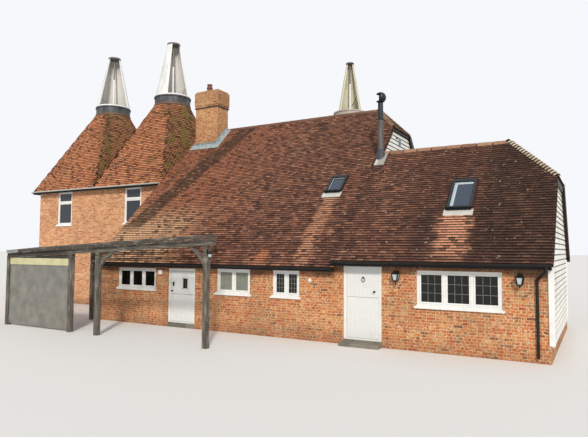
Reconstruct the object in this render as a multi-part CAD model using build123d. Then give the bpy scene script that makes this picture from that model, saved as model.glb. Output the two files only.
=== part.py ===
"""Oast house with two square kilns at the left, a third kiln at the back, a catslide main range and a wing.

Millimetres, +Z up. X runs along the front, +Y towards the back.
The origin is on the ground, half way along the main range, under its ridge.
"""
from math import radians, tan
import os

from build123d import *

os.makedirs("parts", exist_ok=True)

# Main range
MAIN_LENGTH = 9600
MAIN_FRONT = 5800          # ridge line to the outer face of the front wall
MAIN_REAR = 4300           # ridge line to the outer face of the rear wall
MAIN_EAVE_Z = 2334.6       # tiles over the front wall's face
ROOF_RISE = 0.988          # rise of every slope for one unit of run
MAIN_HIP_DROP = 972        # ridge down to the edge of the half-hip
MAIN_HIP_RUN = 933         # ridge end to the edge of the half-hip
VERGE = 100                # roof past a gable
LEFT_VERGE = 50
MAIN_EAVE = 200            # roof past the front wall

# Wing
WING_LENGTH = 5500
WING_DEPTH = 6754
WING_EAVE_Z = 2574.5       # tiles over the wing's front face
WING_HIP_DROP = 1319
WING_HIP_RUN = 1384
WING_EAVE = 250

# Walls, floors and roofs
WALL = 280
GABLE_WALL = 250
KILN_WALL = 330
FLOOR_Z = 150
ROOF_DEPTH = 169           # tiles, battens and rafters, measured upright
EAVE_DEPTH = 70            # tile edge and its tilting board, measured upright

# Kilns
KILN_WIDTH = 4200
KILN_DEPTH = 5300
KILN_CENTRE_Y = 200
KILN_3_X = -310
KILN_EAVE = 250
KILN_WALL_TOP = 5430
KILN_FLOOR_TOP = 3100
UPPER_FLOOR_DEPTH = 200
KERB_Z = 9605              # where the tiles end and the lead kerb begins
KERB_RADIUS = 850
KERB_HEIGHT = 430
KERB_LEAD = 45
KERB_SKIRT = 40            # lead dressed down over the tiles
KERB_ROLL = 60             # height of the rolled edge at the kerb's head
KERB_STEP = 10             # face of the kerb out from the tiles' edge
ROOF_SHELL = 150           # kiln roof, measured level

# Cowls
COWL_HEIGHT = 2750
COWL_BASE_RADIUS = 840
COWL_TOP_RADIUS = 290
COWL_3_BASE_RADIUS = 620
COWL_3_TOP_RADIUS = 190
COWL_BOARD = 28
COWL_RIM = 60
COWL_MOUTH = 130           # degrees left open
COWL_1_TURN = -41          # where the mouth points, degrees from +X
COWL_2_TURN = -2
COWL_3_TURN = -66
COWL_LIFT = 12             # running gap over the kerb
COWL_POST_RADIUS = 38
COWL_BEAM = 130
COWL_BEAM_DROP = 40        # beam under the kerb's head
COWL_CAP = 60
COWL_CAP_OUT = 30          # cap past the cone's top
COWL_POST_ROOM = 6
SEAT_GAP = 0.3

# Doors
DOOR_1_IN = 3980           # main range's left end to the middle of the door
DOOR_1_WIDTH = 1170
DOOR_1_TOP = 1950
DOOR_1_SPLIT = 1100
DOOR_2_IN = 845            # main range's right end to the middle of the door
DOOR_2_WIDTH = 1130
DOOR_2_TOP = 2240
DOOR_2_SPLIT = 1310
DOOR_SILL_Z = 190
DOOR_FRAME = 85
DOOR_LEAF = 45
DOOR_REBATE = 25           # leaf behind the frame's face
DOOR_SETBACK = 40          # frame behind the wall's face
LEAF_GAP = 6
HINGE_PIN = 5
HINGE_EYE = 10
HINGE_OUT = 12             # hinge line inside the leaf's inner face
HINGE_HALF = 35            # height of each half of a hinge
HINGE_FLAP = 4
HINGE_REACH = 260
HINGE_INSET = 110          # hinge foot above or below a leaf's end
DOOR_LIGHT_OFF = 130       # middle of the small light, from the middle of the door
DOOR_LIGHT_ABOVE = 170     # foot of the light over the split
DOOR_LIGHT_WIDTH = 250
DOOR_LIGHT_HEIGHT = 380
STEP_TREAD = 330
STEP_HEIGHT = 90

# Windows
FRONT_SILL_Z = 1220
FRONT_HEAD_Z = 1985
WINDOW_1_IN = 1920         # main range's left end to the middle of the window
WINDOW_1_WIDTH = 1820
WINDOW_1_HEAD = 1930
WINDOW_1_LIGHTS = 3
WINDOW_2_OFF = 100         # right of the middle between door 1 and window 3
WINDOW_2_WIDTH = 1280
WINDOW_2_LIGHTS = 2
WINDOW_3_IN = 1580         # main range's right end to the middle of the window
WINDOW_3_WIDTH = 920
WINDOW_3_LIGHTS = 2
WINDOW_4_IN = 3410
WINDOW_4_WIDTH = 2100
WINDOW_4_FOOT = 1170
WINDOW_4_HEAD = 2080
WINDOW_4_LIGHTS = 3
KILN_WINDOW_WIDTH = 1050
KILN_WINDOW_ABOVE = 640    # foot of a kiln window over the floor
KILN_WINDOW_UNDER = 60     # head of a kiln window under the top of its wall
KILN_TRANSOM = 510         # top light of a kiln window, with its transom
KILN_WINDOW_1_OFF = -210   # middle of the window from the middle of its kiln
KILN_WINDOW_2_OFF = 185
REAR_WINDOW_IN = 1450      # ends of the main range to the middles of its rear windows
FRAME_FACE = 62
FRAME_DEPTH = 90
FRAME_SETBACK = 35
GLASS = 16
SILL_DEPTH = 60
SILL_NOSE = 55

# Chimney
CHIMNEY_IN = 880           # main range's left end to the middle of the stack
CHIMNEY_WIDTH = 1240
CHIMNEY_DEPTH = 760
CHIMNEY_BACK = 50          # in front of the ridge line
CHIMNEY_OVER = 1685        # stack above the main ridge
CHIMNEY_HEAD = 740
CHIMNEY_HEAD_STEP = 45
CHIMNEY_CORBEL = 70
POT_OFF = -150             # pot left of the stack's middle
POT_RADIUS = 125
POT_HEIGHT = 240
POT_WALL = 25

# Stove flue
FLUE_IN = 190              # main range's right end to the pipe
FLUE_FRONT = 137           # pipe in front of the wing's ridge
FLUE_RADIUS = 88
FLUE_WALL = 12
FLUE_OVER = 1649           # pipe above the wing's ridge
FLUE_INSIDE = 600          # pipe below the tiles
FLUE_COLLAR = 50
FLUE_COLLAR_DROP = 640     # from the pipe's top to its upper collar
FLUE_FOOT_COLLAR = 230     # from the tiles to its lower collar
FLUE_COWL_RADIUS = 190
FLUE_COWL_LIFT = 6
FLUE_PIN = 8
FLUE_MOUTH_BACK = 0.14     # mouth's edge from the ball's middle, in radii
FLUE_MOUTH_HIGH = 0.65     # half the mouth's height, in radii
FLUE_HUB_TOP = 24          # top of the hub's bore below the hood's crown
LEAD = 36                  # top of the lead over the tiles' bed
APRON = 160
FLUE_COWL_TURN = 30

# Roof lights
LIGHT_1_IN = 1080          # main range's right end to the middle of the light
LIGHT_1_BACK = 2465        # front wall's face to the middle of the light, in plan
LIGHT_1_WIDTH = 560
LIGHT_1_RUN = 610          # length in plan
LIGHT_2_IN = 3205
LIGHT_2_BACK = 1590
LIGHT_2_WIDTH = 670
LIGHT_2_RUN = 920
LIGHT_UPSTAND = 80
LIGHT_FRAME = 60
LIGHT_APRON = 170

# Ridges
RIDGE_RADIUS = 120
RIDGE_WALL = 18
RIDGE_DROP = 55
HIP_RADIUS = 80
HIP_DROP = 35

# Gutters and downpipe
GUTTER_RADIUS = 60
GUTTER_WALL = 6
FASCIA = 25
FASCIA_DEPTH = 130
PIPE_RADIUS = 34
PIPE_IN = 270              # wing's right end to the downpipe
PIPE_OUTLET_IN = 50
PIPE_FOOT = 120
PIPE_BEND = 45
PIPE_ROOM = 12             # pipe off the wall

# Lanterns
LANTERN_1_IN = 1835        # main range's right end to the first lantern
LANTERN_2_IN = 635         # wing's right end to the second lantern
LANTERN_Z = 1930
LANTERN_OUT = 120          # wall's face to the lantern's middle
LANTERN_FOOT = 105
LANTERN_HEAD = 165
LANTERN_EAVE = 195
LANTERN_CAP = 60
LANTERN_DROP = 130         # lantern's foot under its middle
LANTERN_RISE = 55          # and its head over it
LANTERN_ROOF = 70
LANTERN_ARM = 18
LANTERN_KNOB = 16

# Pergola
PERGOLA_OUT = 2500         # front wall's face to the front plate
PERGOLA_NEAR = 150         # front wall's face to the rear plate at the left end
PERGOLA_RIGHT_IN = 2240    # main range's right end to the end of the front plate
PERGOLA_LEFT_OUT = 1640    # front plate past the main range's left end
PERGOLA_TOP = 2970         # right end of the boards, over the front plate
PERGOLA_FALL = 0.0483      # fall of the boards for one unit to the left
PERGOLA_PITCH = 0.085      # rise of the boards for one unit to the rear
PERGOLA_SPLAY = 0.78       # shift of both ends to the left for one unit to the rear
PERGOLA_POST = 140
POST_INSET = 300           # right end of the plate to its first post
POST_2_IN = 4460
POST_3_IN = 5690
POST_4_INSET = 110         # left end of the plate to its last post
PLATE_DEPTH = 150
PLATE_WIDTH = 130
JOIST_DEPTH = 85
JOIST_WIDTH = 60
JOIST_SPACING = 690
JOIST_NOSE = 170
BOARD_DEPTH = 28
BOARD_WIDTH = 130
BOARD_SPACING = 420
JOIST_HEEL = 1200          # joists over the roof end this far behind the front wall's face
CORNER_GAP = 40
REAR_PLATE_OVER = 700      # rear plate past the corner of the house
BOARDS = 6
BRACE_DEPTH = 110
BRACE_WIDTH = 70
BRACE_RUN = 620
BRACE_RISE = 560
LONG_BRACE = 300           # extra run of the second brace
BRACE_BOW = 0.1            # bow of a brace for one unit of run
SCREEN_THICK = 40
SCREEN_RAIL = 240
SCREEN_FOOT = 60
RAIL_PROUD = 15


MAIN_LEFT_X = -MAIN_LENGTH / 2
MAIN_RIGHT_X = MAIN_LENGTH / 2
FRONT_Y = -MAIN_FRONT
MAIN_RIDGE_Z = MAIN_EAVE_Z + ROOF_RISE * MAIN_FRONT
WING_RIGHT_X = MAIN_RIGHT_X + WING_LENGTH
WING_RIDGE_Y = FRONT_Y + WING_DEPTH / 2
WING_REAR_Y = FRONT_Y + WING_DEPTH
WING_RIDGE_Z = WING_EAVE_Z + ROOF_RISE * WING_DEPTH / 2
KILN_FRONT_Y = KILN_CENTRE_Y - KILN_DEPTH / 2
KILN_REAR_Y = KILN_CENTRE_Y + KILN_DEPTH / 2
KILN_PARTY_X = MAIN_LEFT_X - KILN_WIDTH
KILN_LEFT_X = KILN_PARTY_X - KILN_WIDTH
KILN_1_X = KILN_PARTY_X - KILN_WIDTH / 2
KILN_2_X = MAIN_LEFT_X - KILN_WIDTH / 2
KILN_3_FRONT_Y = MAIN_REAR
KILN_3_REAR_Y = MAIN_REAR + KILN_DEPTH
KILN_3_Y = MAIN_REAR + KILN_DEPTH / 2
FAR = 30000
MAIN_HIP_EDGE_X = MAIN_RIGHT_X + VERGE
MAIN_HIP_EDGE_Z = MAIN_RIDGE_Z - MAIN_HIP_DROP
WING_HIP_EDGE_X = WING_RIGHT_X + VERGE
WING_HIP_EDGE_Z = WING_RIDGE_Z - WING_HIP_DROP
DOOR_1_X = MAIN_LEFT_X + DOOR_1_IN
DOOR_2_X = MAIN_RIGHT_X + DOOR_2_IN
WINDOW_1 = (MAIN_LEFT_X + WINDOW_1_IN, WINDOW_1_WIDTH, FRONT_SILL_Z, WINDOW_1_HEAD, WINDOW_1_LIGHTS, 0)
WINDOW_3_X = MAIN_RIGHT_X - WINDOW_3_IN
WINDOW_2_X = (DOOR_1_X + WINDOW_3_X) / 2 + WINDOW_2_OFF
WINDOW_2 = (WINDOW_2_X, WINDOW_2_WIDTH, FRONT_SILL_Z, FRONT_HEAD_Z, WINDOW_2_LIGHTS, 0)
WINDOW_3 = (WINDOW_3_X, WINDOW_3_WIDTH, FRONT_SILL_Z, FRONT_HEAD_Z, WINDOW_3_LIGHTS, 0)
WINDOW_4 = (MAIN_RIGHT_X + WINDOW_4_IN, WINDOW_4_WIDTH, WINDOW_4_FOOT, WINDOW_4_HEAD, WINDOW_4_LIGHTS, 0)
KILN_WINDOW = (KILN_WINDOW_WIDTH, KILN_FLOOR_TOP + KILN_WINDOW_ABOVE, KILN_WALL_TOP - KILN_WINDOW_UNDER,
               1, KILN_TRANSOM)
CHIMNEY_X = MAIN_LEFT_X + CHIMNEY_IN
CHIMNEY_Y = -CHIMNEY_BACK - CHIMNEY_DEPTH / 2
CHIMNEY_TOP = MAIN_RIDGE_Z + CHIMNEY_OVER
FLUE_X = MAIN_RIGHT_X + FLUE_IN
FLUE_Y = WING_RIDGE_Y - FLUE_FRONT
FLUE_TOP = WING_RIDGE_Z + FLUE_OVER
ROOF_LIGHT_1 = (MAIN_RIGHT_X - LIGHT_1_IN, FRONT_Y + LIGHT_1_BACK, LIGHT_1_WIDTH, LIGHT_1_RUN)
ROOF_LIGHT_2 = (MAIN_RIGHT_X + LIGHT_2_IN, FRONT_Y + LIGHT_2_BACK, LIGHT_2_WIDTH, LIGHT_2_RUN)
PERGOLA_Y = FRONT_Y - PERGOLA_OUT
PERGOLA_REAR_Y = FRONT_Y - PERGOLA_NEAR
PERGOLA_RIGHT = MAIN_RIGHT_X - PERGOLA_RIGHT_IN
PERGOLA_LEFT = MAIN_LEFT_X - PERGOLA_LEFT_OUT
HOUSE_CORNER_X = MAIN_LEFT_X - LEFT_VERGE
POST_1_X = PERGOLA_RIGHT - POST_INSET
POST_2_X = PERGOLA_RIGHT - POST_2_IN
POST_3_X = PERGOLA_RIGHT - POST_3_IN
POST_4_X = PERGOLA_LEFT + POST_4_INSET
PLATE_TOP = BOARD_DEPTH + JOIST_DEPTH


def at(size_x, size_y, size_z, x, y, z):
    """A block whose foot is centred on x, y and stands at z."""
    return Pos(x, y, z) * Box(size_x, size_y, size_z, align=(Align.CENTER, Align.CENTER, Align.MIN))


def span(x0, x1, y0, y1, z0, z1):
    """A block between two corners."""
    return Pos(x0, y0, z0) * Box(x1 - x0, y1 - y0, z1 - z0, align=(Align.MIN, Align.MIN, Align.MIN))


def across(points, x0, x1):
    """A YZ outline run along X from x0 to x1."""
    outline = make_face(Plane.YZ * Polyline(*points, close=True))
    return Pos(x0, 0, 0) * extrude(outline, amount=x1 - x0, dir=(1, 0, 0))


def along(points, y0, y1):
    """An XZ outline run along Y from y0 to y1."""
    outline = make_face(Plane.XZ * Polyline(*points, close=True))
    return Pos(0, y0, 0) * extrude(outline, amount=y1 - y0, dir=(0, 1, 0))


def save(name, shape):
    """Write one piece."""
    export_step(shape, "parts/" + name + ".step")


def main_top(y):
    """Height of the main roof's tiles over a place y."""
    return MAIN_RIDGE_Z - ROOF_RISE * abs(y)


def wing_top(y):
    """Height of the wing roof's tiles over a place y."""
    return WING_RIDGE_Z - ROOF_RISE * abs(y - WING_RIDGE_Y)


def slope_slab(ridge_y, ridge_z, wall_y, eave_y, x0, x1):
    """One roof slope: full depth over the wall and the rooms, thin past the wall's face."""
    run = abs(eave_y - ridge_y)
    wall_run = abs(wall_y - ridge_y)
    eave_z = ridge_z - ROOF_RISE * run
    wall_z = ridge_z - ROOF_RISE * wall_run
    points = [(ridge_y, ridge_z), (eave_y, eave_z), (eave_y, eave_z - EAVE_DEPTH),
              (wall_y, wall_z - EAVE_DEPTH), (wall_y, wall_z - ROOF_DEPTH), (ridge_y, ridge_z - ROOF_DEPTH)]
    return across(points, x0, x1)


def under_hip(edge_x, edge_z, run, drop, lower):
    """All that lies under a half-hip's plane, lowered by a depth."""
    top_x = edge_x - run
    rise = drop / run
    past = FAR / 10
    edge_z -= lower
    points = [(-FAR, -FAR), (edge_x + past, -FAR), (edge_x + past, edge_z - rise * past),
              (top_x - past, edge_z + drop + rise * past), (-FAR, FAR)]
    return along(points, -FAR, FAR)


def main_roof():
    """Two slopes and the half-hip of the main range, as three separate slabs."""
    hip_top = under_hip(MAIN_HIP_EDGE_X, MAIN_HIP_EDGE_Z, MAIN_HIP_RUN, MAIN_HIP_DROP, 0)
    hip_foot = under_hip(MAIN_HIP_EDGE_X, MAIN_HIP_EDGE_Z, MAIN_HIP_RUN, MAIN_HIP_DROP, ROOF_DEPTH)
    x0 = MAIN_LEFT_X - LEFT_VERGE
    front = slope_slab(0, MAIN_RIDGE_Z, FRONT_Y, FRONT_Y - MAIN_EAVE, x0, MAIN_HIP_EDGE_X) & hip_foot
    rear = slope_slab(0, MAIN_RIDGE_Z, MAIN_REAR, MAIN_REAR + MAIN_EAVE, x0, MAIN_HIP_EDGE_X) & hip_foot
    half = MAIN_HIP_DROP / ROOF_RISE
    prism = across([(-half, MAIN_HIP_EDGE_Z), (half, MAIN_HIP_EDGE_Z), (0, MAIN_RIDGE_Z)],
                   MAIN_HIP_EDGE_X - MAIN_HIP_RUN - FAR / 100, MAIN_HIP_EDGE_X)
    hip = (prism & hip_top) - hip_foot
    room = wing_volume(0)
    return front - room, rear - room, hip


def wing_volume(lower):
    """The wing's outer prism, lowered by a depth, without its half-hip."""
    front_y = FRONT_Y - WING_EAVE
    rear_y = WING_REAR_Y + WING_EAVE
    points = [(front_y, -FAR), (rear_y, -FAR), (rear_y, wing_top(rear_y) - lower),
              (WING_RIDGE_Y, WING_RIDGE_Z - lower), (front_y, wing_top(front_y) - lower)]
    return across(points, MAIN_RIGHT_X, WING_HIP_EDGE_X)


def wing_roof():
    """Two slopes and the half-hip of the wing."""
    hip_top = under_hip(WING_HIP_EDGE_X, WING_HIP_EDGE_Z, WING_HIP_RUN, WING_HIP_DROP, 0)
    hip_foot = under_hip(WING_HIP_EDGE_X, WING_HIP_EDGE_Z, WING_HIP_RUN, WING_HIP_DROP, ROOF_DEPTH)
    ridge = (WING_RIDGE_Y, WING_RIDGE_Z)
    ends = (MAIN_RIGHT_X, WING_HIP_EDGE_X)
    front = slope_slab(*ridge, FRONT_Y, FRONT_Y - WING_EAVE, *ends) & hip_foot
    rear = slope_slab(*ridge, WING_REAR_Y, WING_REAR_Y + WING_EAVE, *ends) & hip_foot
    half = WING_HIP_DROP / ROOF_RISE
    prism = across([(WING_RIDGE_Y - half, WING_HIP_EDGE_Z), (WING_RIDGE_Y + half, WING_HIP_EDGE_Z), ridge],
                   WING_HIP_EDGE_X - WING_HIP_RUN - FAR / 100, WING_HIP_EDGE_X)
    hip = (prism & hip_top) - hip_foot
    return front, rear, hip


def roof_light_hole(light, top):
    """The hole that a roof light needs through its slope."""
    x, y, width, run = light
    return at(width, run, 6 * run, x, y, top(y) - 3 * run)


def roof_light(light, top):
    """The upstand frame of a roof light and its pane, both lying in the slope."""
    x, y, width, run = light
    front, rear = y - run / 2, y + run / 2

    def layer(low, high, inset):
        points = [(front + inset, top(front + inset) + low), (rear - inset, top(rear - inset) + low),
                  (rear - inset, top(rear - inset) + high), (front + inset, top(front + inset) + high)]
        return across(points, x - width / 2 + inset, x + width / 2 - inset)

    frame = layer(-ROOF_DEPTH, LIGHT_UPSTAND, 0) - layer(-2 * ROOF_DEPTH, 2 * LIGHT_UPSTAND, LIGHT_FRAME)
    pane = layer(-GLASS, GLASS, LIGHT_FRAME)
    return frame, pane


def gable(x0, x1, ridge_y, ridge_z, front_y, rear_y):
    """A gable wall that runs up to the underside of its roof."""
    under = ridge_z - ROOF_DEPTH
    points = [(front_y, 0), (rear_y, 0), (rear_y, under - ROOF_RISE * abs(rear_y - ridge_y)),
              (ridge_y, under), (front_y, under - ROOF_RISE * abs(front_y - ridge_y))]
    return across(points, x0, x1)


def window_hole(window, y0, y1):
    """The hole in a wall for a window."""
    x, width, foot, head, lights, transom = window
    return span(x - width / 2, x + width / 2, y0, y1, foot, head)


def openings(window):
    """The openings in a window's frame: one for each light, and one more over a transom."""
    x, width, foot, head, lights, transom = window
    pitch = (width - FRAME_FACE) / lights
    found = []
    for light in range(lights):
        left = x - width / 2 + FRAME_FACE + light * pitch
        right = left + pitch - FRAME_FACE
        found.append((left, right, foot + FRAME_FACE, head - FRAME_FACE - transom))
        if transom:
            found.append((left, right, head - transom, head - FRAME_FACE))
    return found


def window_frame(window, face_y, outward):
    """A casement frame with its bars and sill. outward is -1 for a front wall and 1 for a rear one."""
    x, width, foot, head, lights, transom = window
    near = face_y - outward * FRAME_SETBACK
    far = near - outward * FRAME_DEPTH
    y0, y1 = min(near, far), max(near, far)
    frame = span(x - width / 2, x + width / 2, y0, y1, foot, head)
    for left, right, low, high in openings(window):
        frame -= span(left, right, y0, y1, low, high)
    nose = face_y + outward * SILL_NOSE
    frame += span(x - width / 2 - SILL_NOSE, x + width / 2 + SILL_NOSE,
                  min(nose, face_y), max(nose, face_y), foot - SILL_DEPTH, foot)
    return frame + span(x - width / 2, x + width / 2, min(nose, near), max(nose, near),
                        foot, foot + FRAME_FACE / 2)


def window_glass(window, face_y, outward):
    """The panes of one window."""
    middle = face_y - outward * (FRAME_SETBACK + FRAME_DEPTH / 2)
    return [span(left, right, middle - GLASS / 2, middle + GLASS / 2, low, high)
            for left, right, low, high in openings(window)]


def front_walls():
    """The front wall in three stretches, with its window holes, and the pieces over the two doors."""
    inner_y = FRONT_Y + WALL
    door_1 = (DOOR_1_X - DOOR_1_WIDTH / 2, DOOR_1_X + DOOR_1_WIDTH / 2)
    door_2 = (DOOR_2_X - DOOR_2_WIDTH / 2, DOOR_2_X + DOOR_2_WIDTH / 2)

    def main_part(x0, x1, z0):
        top_out = main_top(FRONT_Y) - ROOF_DEPTH
        top_in = main_top(inner_y) - ROOF_DEPTH
        return across([(FRONT_Y, z0), (inner_y, z0), (inner_y, top_in), (FRONT_Y, top_out)], x0, x1)

    def wing_part(x0, x1, z0):
        top_out = wing_top(FRONT_Y) - ROOF_DEPTH
        top_in = wing_top(inner_y) - ROOF_DEPTH
        return across([(FRONT_Y, z0), (inner_y, z0), (inner_y, top_in), (FRONT_Y, top_out)], x0, x1)

    left = main_part(MAIN_LEFT_X + GABLE_WALL, door_1[0], 0)
    left -= window_hole(WINDOW_1, FRONT_Y, inner_y)
    middle = main_part(door_1[1], MAIN_RIGHT_X - GABLE_WALL, 0)
    middle -= window_hole(WINDOW_2, FRONT_Y, inner_y)
    middle -= window_hole(WINDOW_3, FRONT_Y, inner_y)
    pier = wing_part(MAIN_RIGHT_X, door_2[0], 0)
    right = wing_part(door_2[1], WING_RIGHT_X - GABLE_WALL, 0)
    right -= window_hole(WINDOW_4, FRONT_Y, inner_y)
    sills = (span(*door_1, FRONT_Y, inner_y, 0, FLOOR_Z), span(*door_2, FRONT_Y, inner_y, 0, FLOOR_Z))
    heads = (main_part(*door_1, DOOR_1_TOP), wing_part(*door_2, DOOR_2_TOP))
    return left, middle, pier, right, sills, heads


def wall_windows():
    """All windows with the plane of their wall and the side that faces out."""
    kiln_1 = (KILN_1_X + KILN_WINDOW_1_OFF, *KILN_WINDOW)
    kiln_2 = (KILN_2_X + KILN_WINDOW_2_OFF, *KILN_WINDOW)
    kiln_3 = (KILN_3_X, *KILN_WINDOW)
    front = [(window, FRONT_Y, -1) for window in (WINDOW_1, WINDOW_2, WINDOW_3, WINDOW_4)]
    kilns = [(kiln_1, KILN_FRONT_Y, -1), (kiln_2, KILN_FRONT_Y, -1)]
    rear = [(kiln_1, KILN_REAR_Y, 1), (kiln_2, KILN_REAR_Y, 1), (kiln_3, KILN_3_REAR_Y, 1),
            ((MAIN_LEFT_X + REAR_WINDOW_IN, *WINDOW_3[1:]), MAIN_REAR, 1),
            ((MAIN_RIGHT_X - REAR_WINDOW_IN, *WINDOW_3[1:]), MAIN_REAR, 1), (WINDOW_4, WING_REAR_Y, 1)]
    return front, kilns, rear


def rect_to_round(x0, x1, y0, y1, z0, centre, radius, z1):
    """A solid that starts as a rectangle and ends as a circle."""
    foot = Pos((x0 + x1) / 2, (y0 + y1) / 2, z0) * Rectangle(x1 - x0, y1 - y0)
    head = Pos(centre[0], centre[1], z1) * Circle(radius)
    return loft([foot, head], ruled=True)


def kiln_roof(x0, x1, y0, y1, centre, eaves):
    """A tiled kiln roof: a shell from the square walls up to the round kerb."""
    left, right, front, rear = eaves
    outer = rect_to_round(x0 - left, x1 + right, y0 - front, y1 + rear, KILN_WALL_TOP, centre,
                          KERB_RADIUS, KERB_Z)
    room_x0, room_x1, room_y0, room_y1 = x0 + KILN_WALL, x1 - KILN_WALL, y0 + KILN_WALL, y1 - KILN_WALL
    inner = rect_to_round(room_x0, room_x1, room_y0, room_y1, KILN_WALL_TOP, centre,
                          KERB_RADIUS - ROOF_SHELL, KERB_Z)
    return outer - inner


def standing(radius, height):
    """A cylinder that stands on z = 0."""
    return Cylinder(radius, height, align=(Align.CENTER, Align.CENTER, Align.MIN))


def kerb(x, y):
    """The lead-covered drum on which a cowl turns."""
    inner = KERB_RADIUS - ROOF_SHELL
    face = KERB_RADIUS + KERB_STEP
    roll = KERB_RADIUS + KERB_LEAD
    outline = [(inner, 0), (KERB_RADIUS, 0), (roll, -KERB_SKIRT), (roll, KERB_SKIRT), (face, KERB_ROLL),
               (face, KERB_HEIGHT - KERB_ROLL), (roll, KERB_HEIGHT - KERB_ROLL), (roll, KERB_HEIGHT),
               (inner, KERB_HEIGHT)]
    ring = revolve(make_face(Plane.XZ * Polyline(*outline, close=True)), axis=Axis.Z)
    return Pos(x, y, KERB_Z) * ring


def cowl(base_radius, top_radius, turn):
    """A boarded cone with one side open, its rims, hoop, cap and bearing, standing on z = 0."""
    skirt = COWL_HEIGHT - COWL_CAP
    outline = [(base_radius - COWL_BOARD, 0), (base_radius, 0), (top_radius, skirt),
               (top_radius - COWL_BOARD, skirt)]
    shell = revolve(make_face(Plane.XZ * Polyline(*outline, close=True)), axis=Axis.Z)
    half = radians(COWL_MOUTH / 2)
    reach = base_radius * 2
    wedge = make_face(Polyline((0, 0), (reach, -reach * tan(half)), (reach, reach * tan(half)), close=True))
    shell -= extrude(wedge, amount=skirt)
    hoop = standing(base_radius + COWL_RIM / 3, COWL_RIM) - standing(base_radius - COWL_RIM, COWL_RIM)
    cap = standing(top_radius + COWL_CAP_OUT, COWL_CAP)
    cap -= standing(COWL_POST_RADIUS + COWL_POST_ROOM, COWL_CAP / 2)
    shape = shell + hoop + Pos(0, 0, skirt) * cap
    foot, head = base_radius - COWL_RIM, top_radius - COWL_RIM
    rim = along([(foot, 0), (foot + COWL_RIM, 0), (head + COWL_RIM, skirt), (head, skirt)],
                -COWL_RIM / 2, COWL_RIM / 2)
    for side in (-1, 1):
        shape += Rot(0, 0, side * COWL_MOUTH / 2) * rim
    return Rot(0, 0, turn) * shape


def cowl_post(x, y):
    """The fixed post on its beam across the kerb, up to the cowl's cap."""
    inner = KERB_RADIUS - ROOF_SHELL
    half_length = (inner ** 2 - (COWL_BEAM / 2) ** 2) ** 0.5 - SEAT_GAP
    kerb_top = KERB_Z + KERB_HEIGHT
    beam_z = kerb_top - COWL_BEAM - COWL_BEAM_DROP
    beam = at(2 * half_length, COWL_BEAM, COWL_BEAM, x, y, beam_z)
    top = kerb_top + COWL_LIFT + COWL_HEIGHT - COWL_CAP / 2 - SEAT_GAP
    return beam + Pos(x, y, beam_z) * standing(COWL_POST_RADIUS, top - beam_z)


def leaf_side(side, x, width):
    """The edge of a leaf at its hinge side, and the hinge line in plan."""
    edge = x + side * (width / 2 - DOOR_FRAME - LEAF_GAP)
    line_x = edge + side * LEAF_GAP / 2
    line_y = FRONT_Y + DOOR_SETBACK + DOOR_REBATE + DOOR_LEAF + HINGE_OUT
    return edge, line_x, line_y


def hinge_heights(split, top):
    """Feet of the hinges of the lower and the upper leaf."""
    lower = (DOOR_SILL_Z + HINGE_INSET, split - HINGE_INSET - 2 * HINGE_HALF)
    upper = (split + HINGE_INSET, top - DOOR_FRAME - HINGE_INSET - 2 * HINGE_HALF)
    return lower, upper


def door_frame(x, width, top, split, side):
    """Jambs, head and sill of a stable door, with the pins on which its leaves hang."""
    y0 = FRONT_Y + DOOR_SETBACK
    y1 = y0 + DOOR_REBATE + DOOR_LEAF
    frame = span(x - width / 2, x + width / 2, y0, y1, FLOOR_Z, top)
    half = width / 2 - DOOR_FRAME
    frame -= span(x - half, x + half, y0, y1, DOOR_SILL_Z, top - DOOR_FRAME)
    edge, line_x, line_y = leaf_side(side, x, width)
    far_x = line_x + side * DOOR_FRAME / 2
    for z in sum(hinge_heights(split, top), ()):
        frame += span(min(line_x, far_x), max(line_x, far_x), y1, y1 + HINGE_FLAP, z, z + HINGE_HALF)
        frame += Pos(line_x, line_y, z) * standing(HINGE_EYE, HINGE_HALF)
        frame += Pos(line_x, line_y, z) * Cylinder(HINGE_PIN, 2 * HINGE_HALF,
                                                   align=(Align.CENTER, Align.CENTER, Align.MIN))
    return frame


def door_leaf(x, width, z0, z1, side, hinges):
    """One leaf of a stable door with the straps and eyes of its two hinges."""
    inner_y = FRONT_Y + DOOR_SETBACK + DOOR_REBATE + DOOR_LEAF
    inside = width - 2 * DOOR_FRAME - 2 * LEAF_GAP
    leaf = at(inside, DOOR_LEAF, z1 - z0, x, inner_y - DOOR_LEAF / 2, z0)
    edge, line_x, line_y = leaf_side(side, x, width)
    far_x = line_x - side * HINGE_REACH
    for z in hinges:
        foot = z + HINGE_HALF + SEAT_GAP
        strap = span(min(line_x, far_x), max(line_x, far_x), inner_y, inner_y + HINGE_FLAP,
                     foot, z + 2 * HINGE_HALF)
        eye = Pos(line_x, line_y, foot) * Cylinder(HINGE_EYE, HINGE_HALF - SEAT_GAP,
                                                   align=(Align.CENTER, Align.CENTER, Align.MIN))
        bore = Pos(line_x, line_y, z) * Cylinder(HINGE_PIN + SEAT_GAP, 3 * HINGE_HALF,
                                                 align=(Align.CENTER, Align.CENTER, Align.MIN))
        leaf += (strap + eye) - bore
    return leaf


def ridge_roll(x0, x1, y, z):
    """Half-round ridge tiles bedded along a ridge."""
    outline = Circle(RIDGE_RADIUS) - Circle(RIDGE_RADIUS - RIDGE_WALL)
    roll = Pos(x0, y, z - RIDGE_DROP) * extrude(Plane.YZ * outline, amount=x1 - x0, dir=(1, 0, 0))
    return roll & span(x0, x1, y - FAR / 10, y + FAR / 10, z - RIDGE_DROP - RIDGE_RADIUS / 2, z + FAR / 10)


def ridge_room(y, z):
    """The room that the ridge tiles need along a whole ridge."""
    return Pos(0, y, z - RIDGE_DROP) * Rot(0, 90, 0) * Cylinder(RIDGE_RADIUS + SEAT_GAP, FAR)


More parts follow.
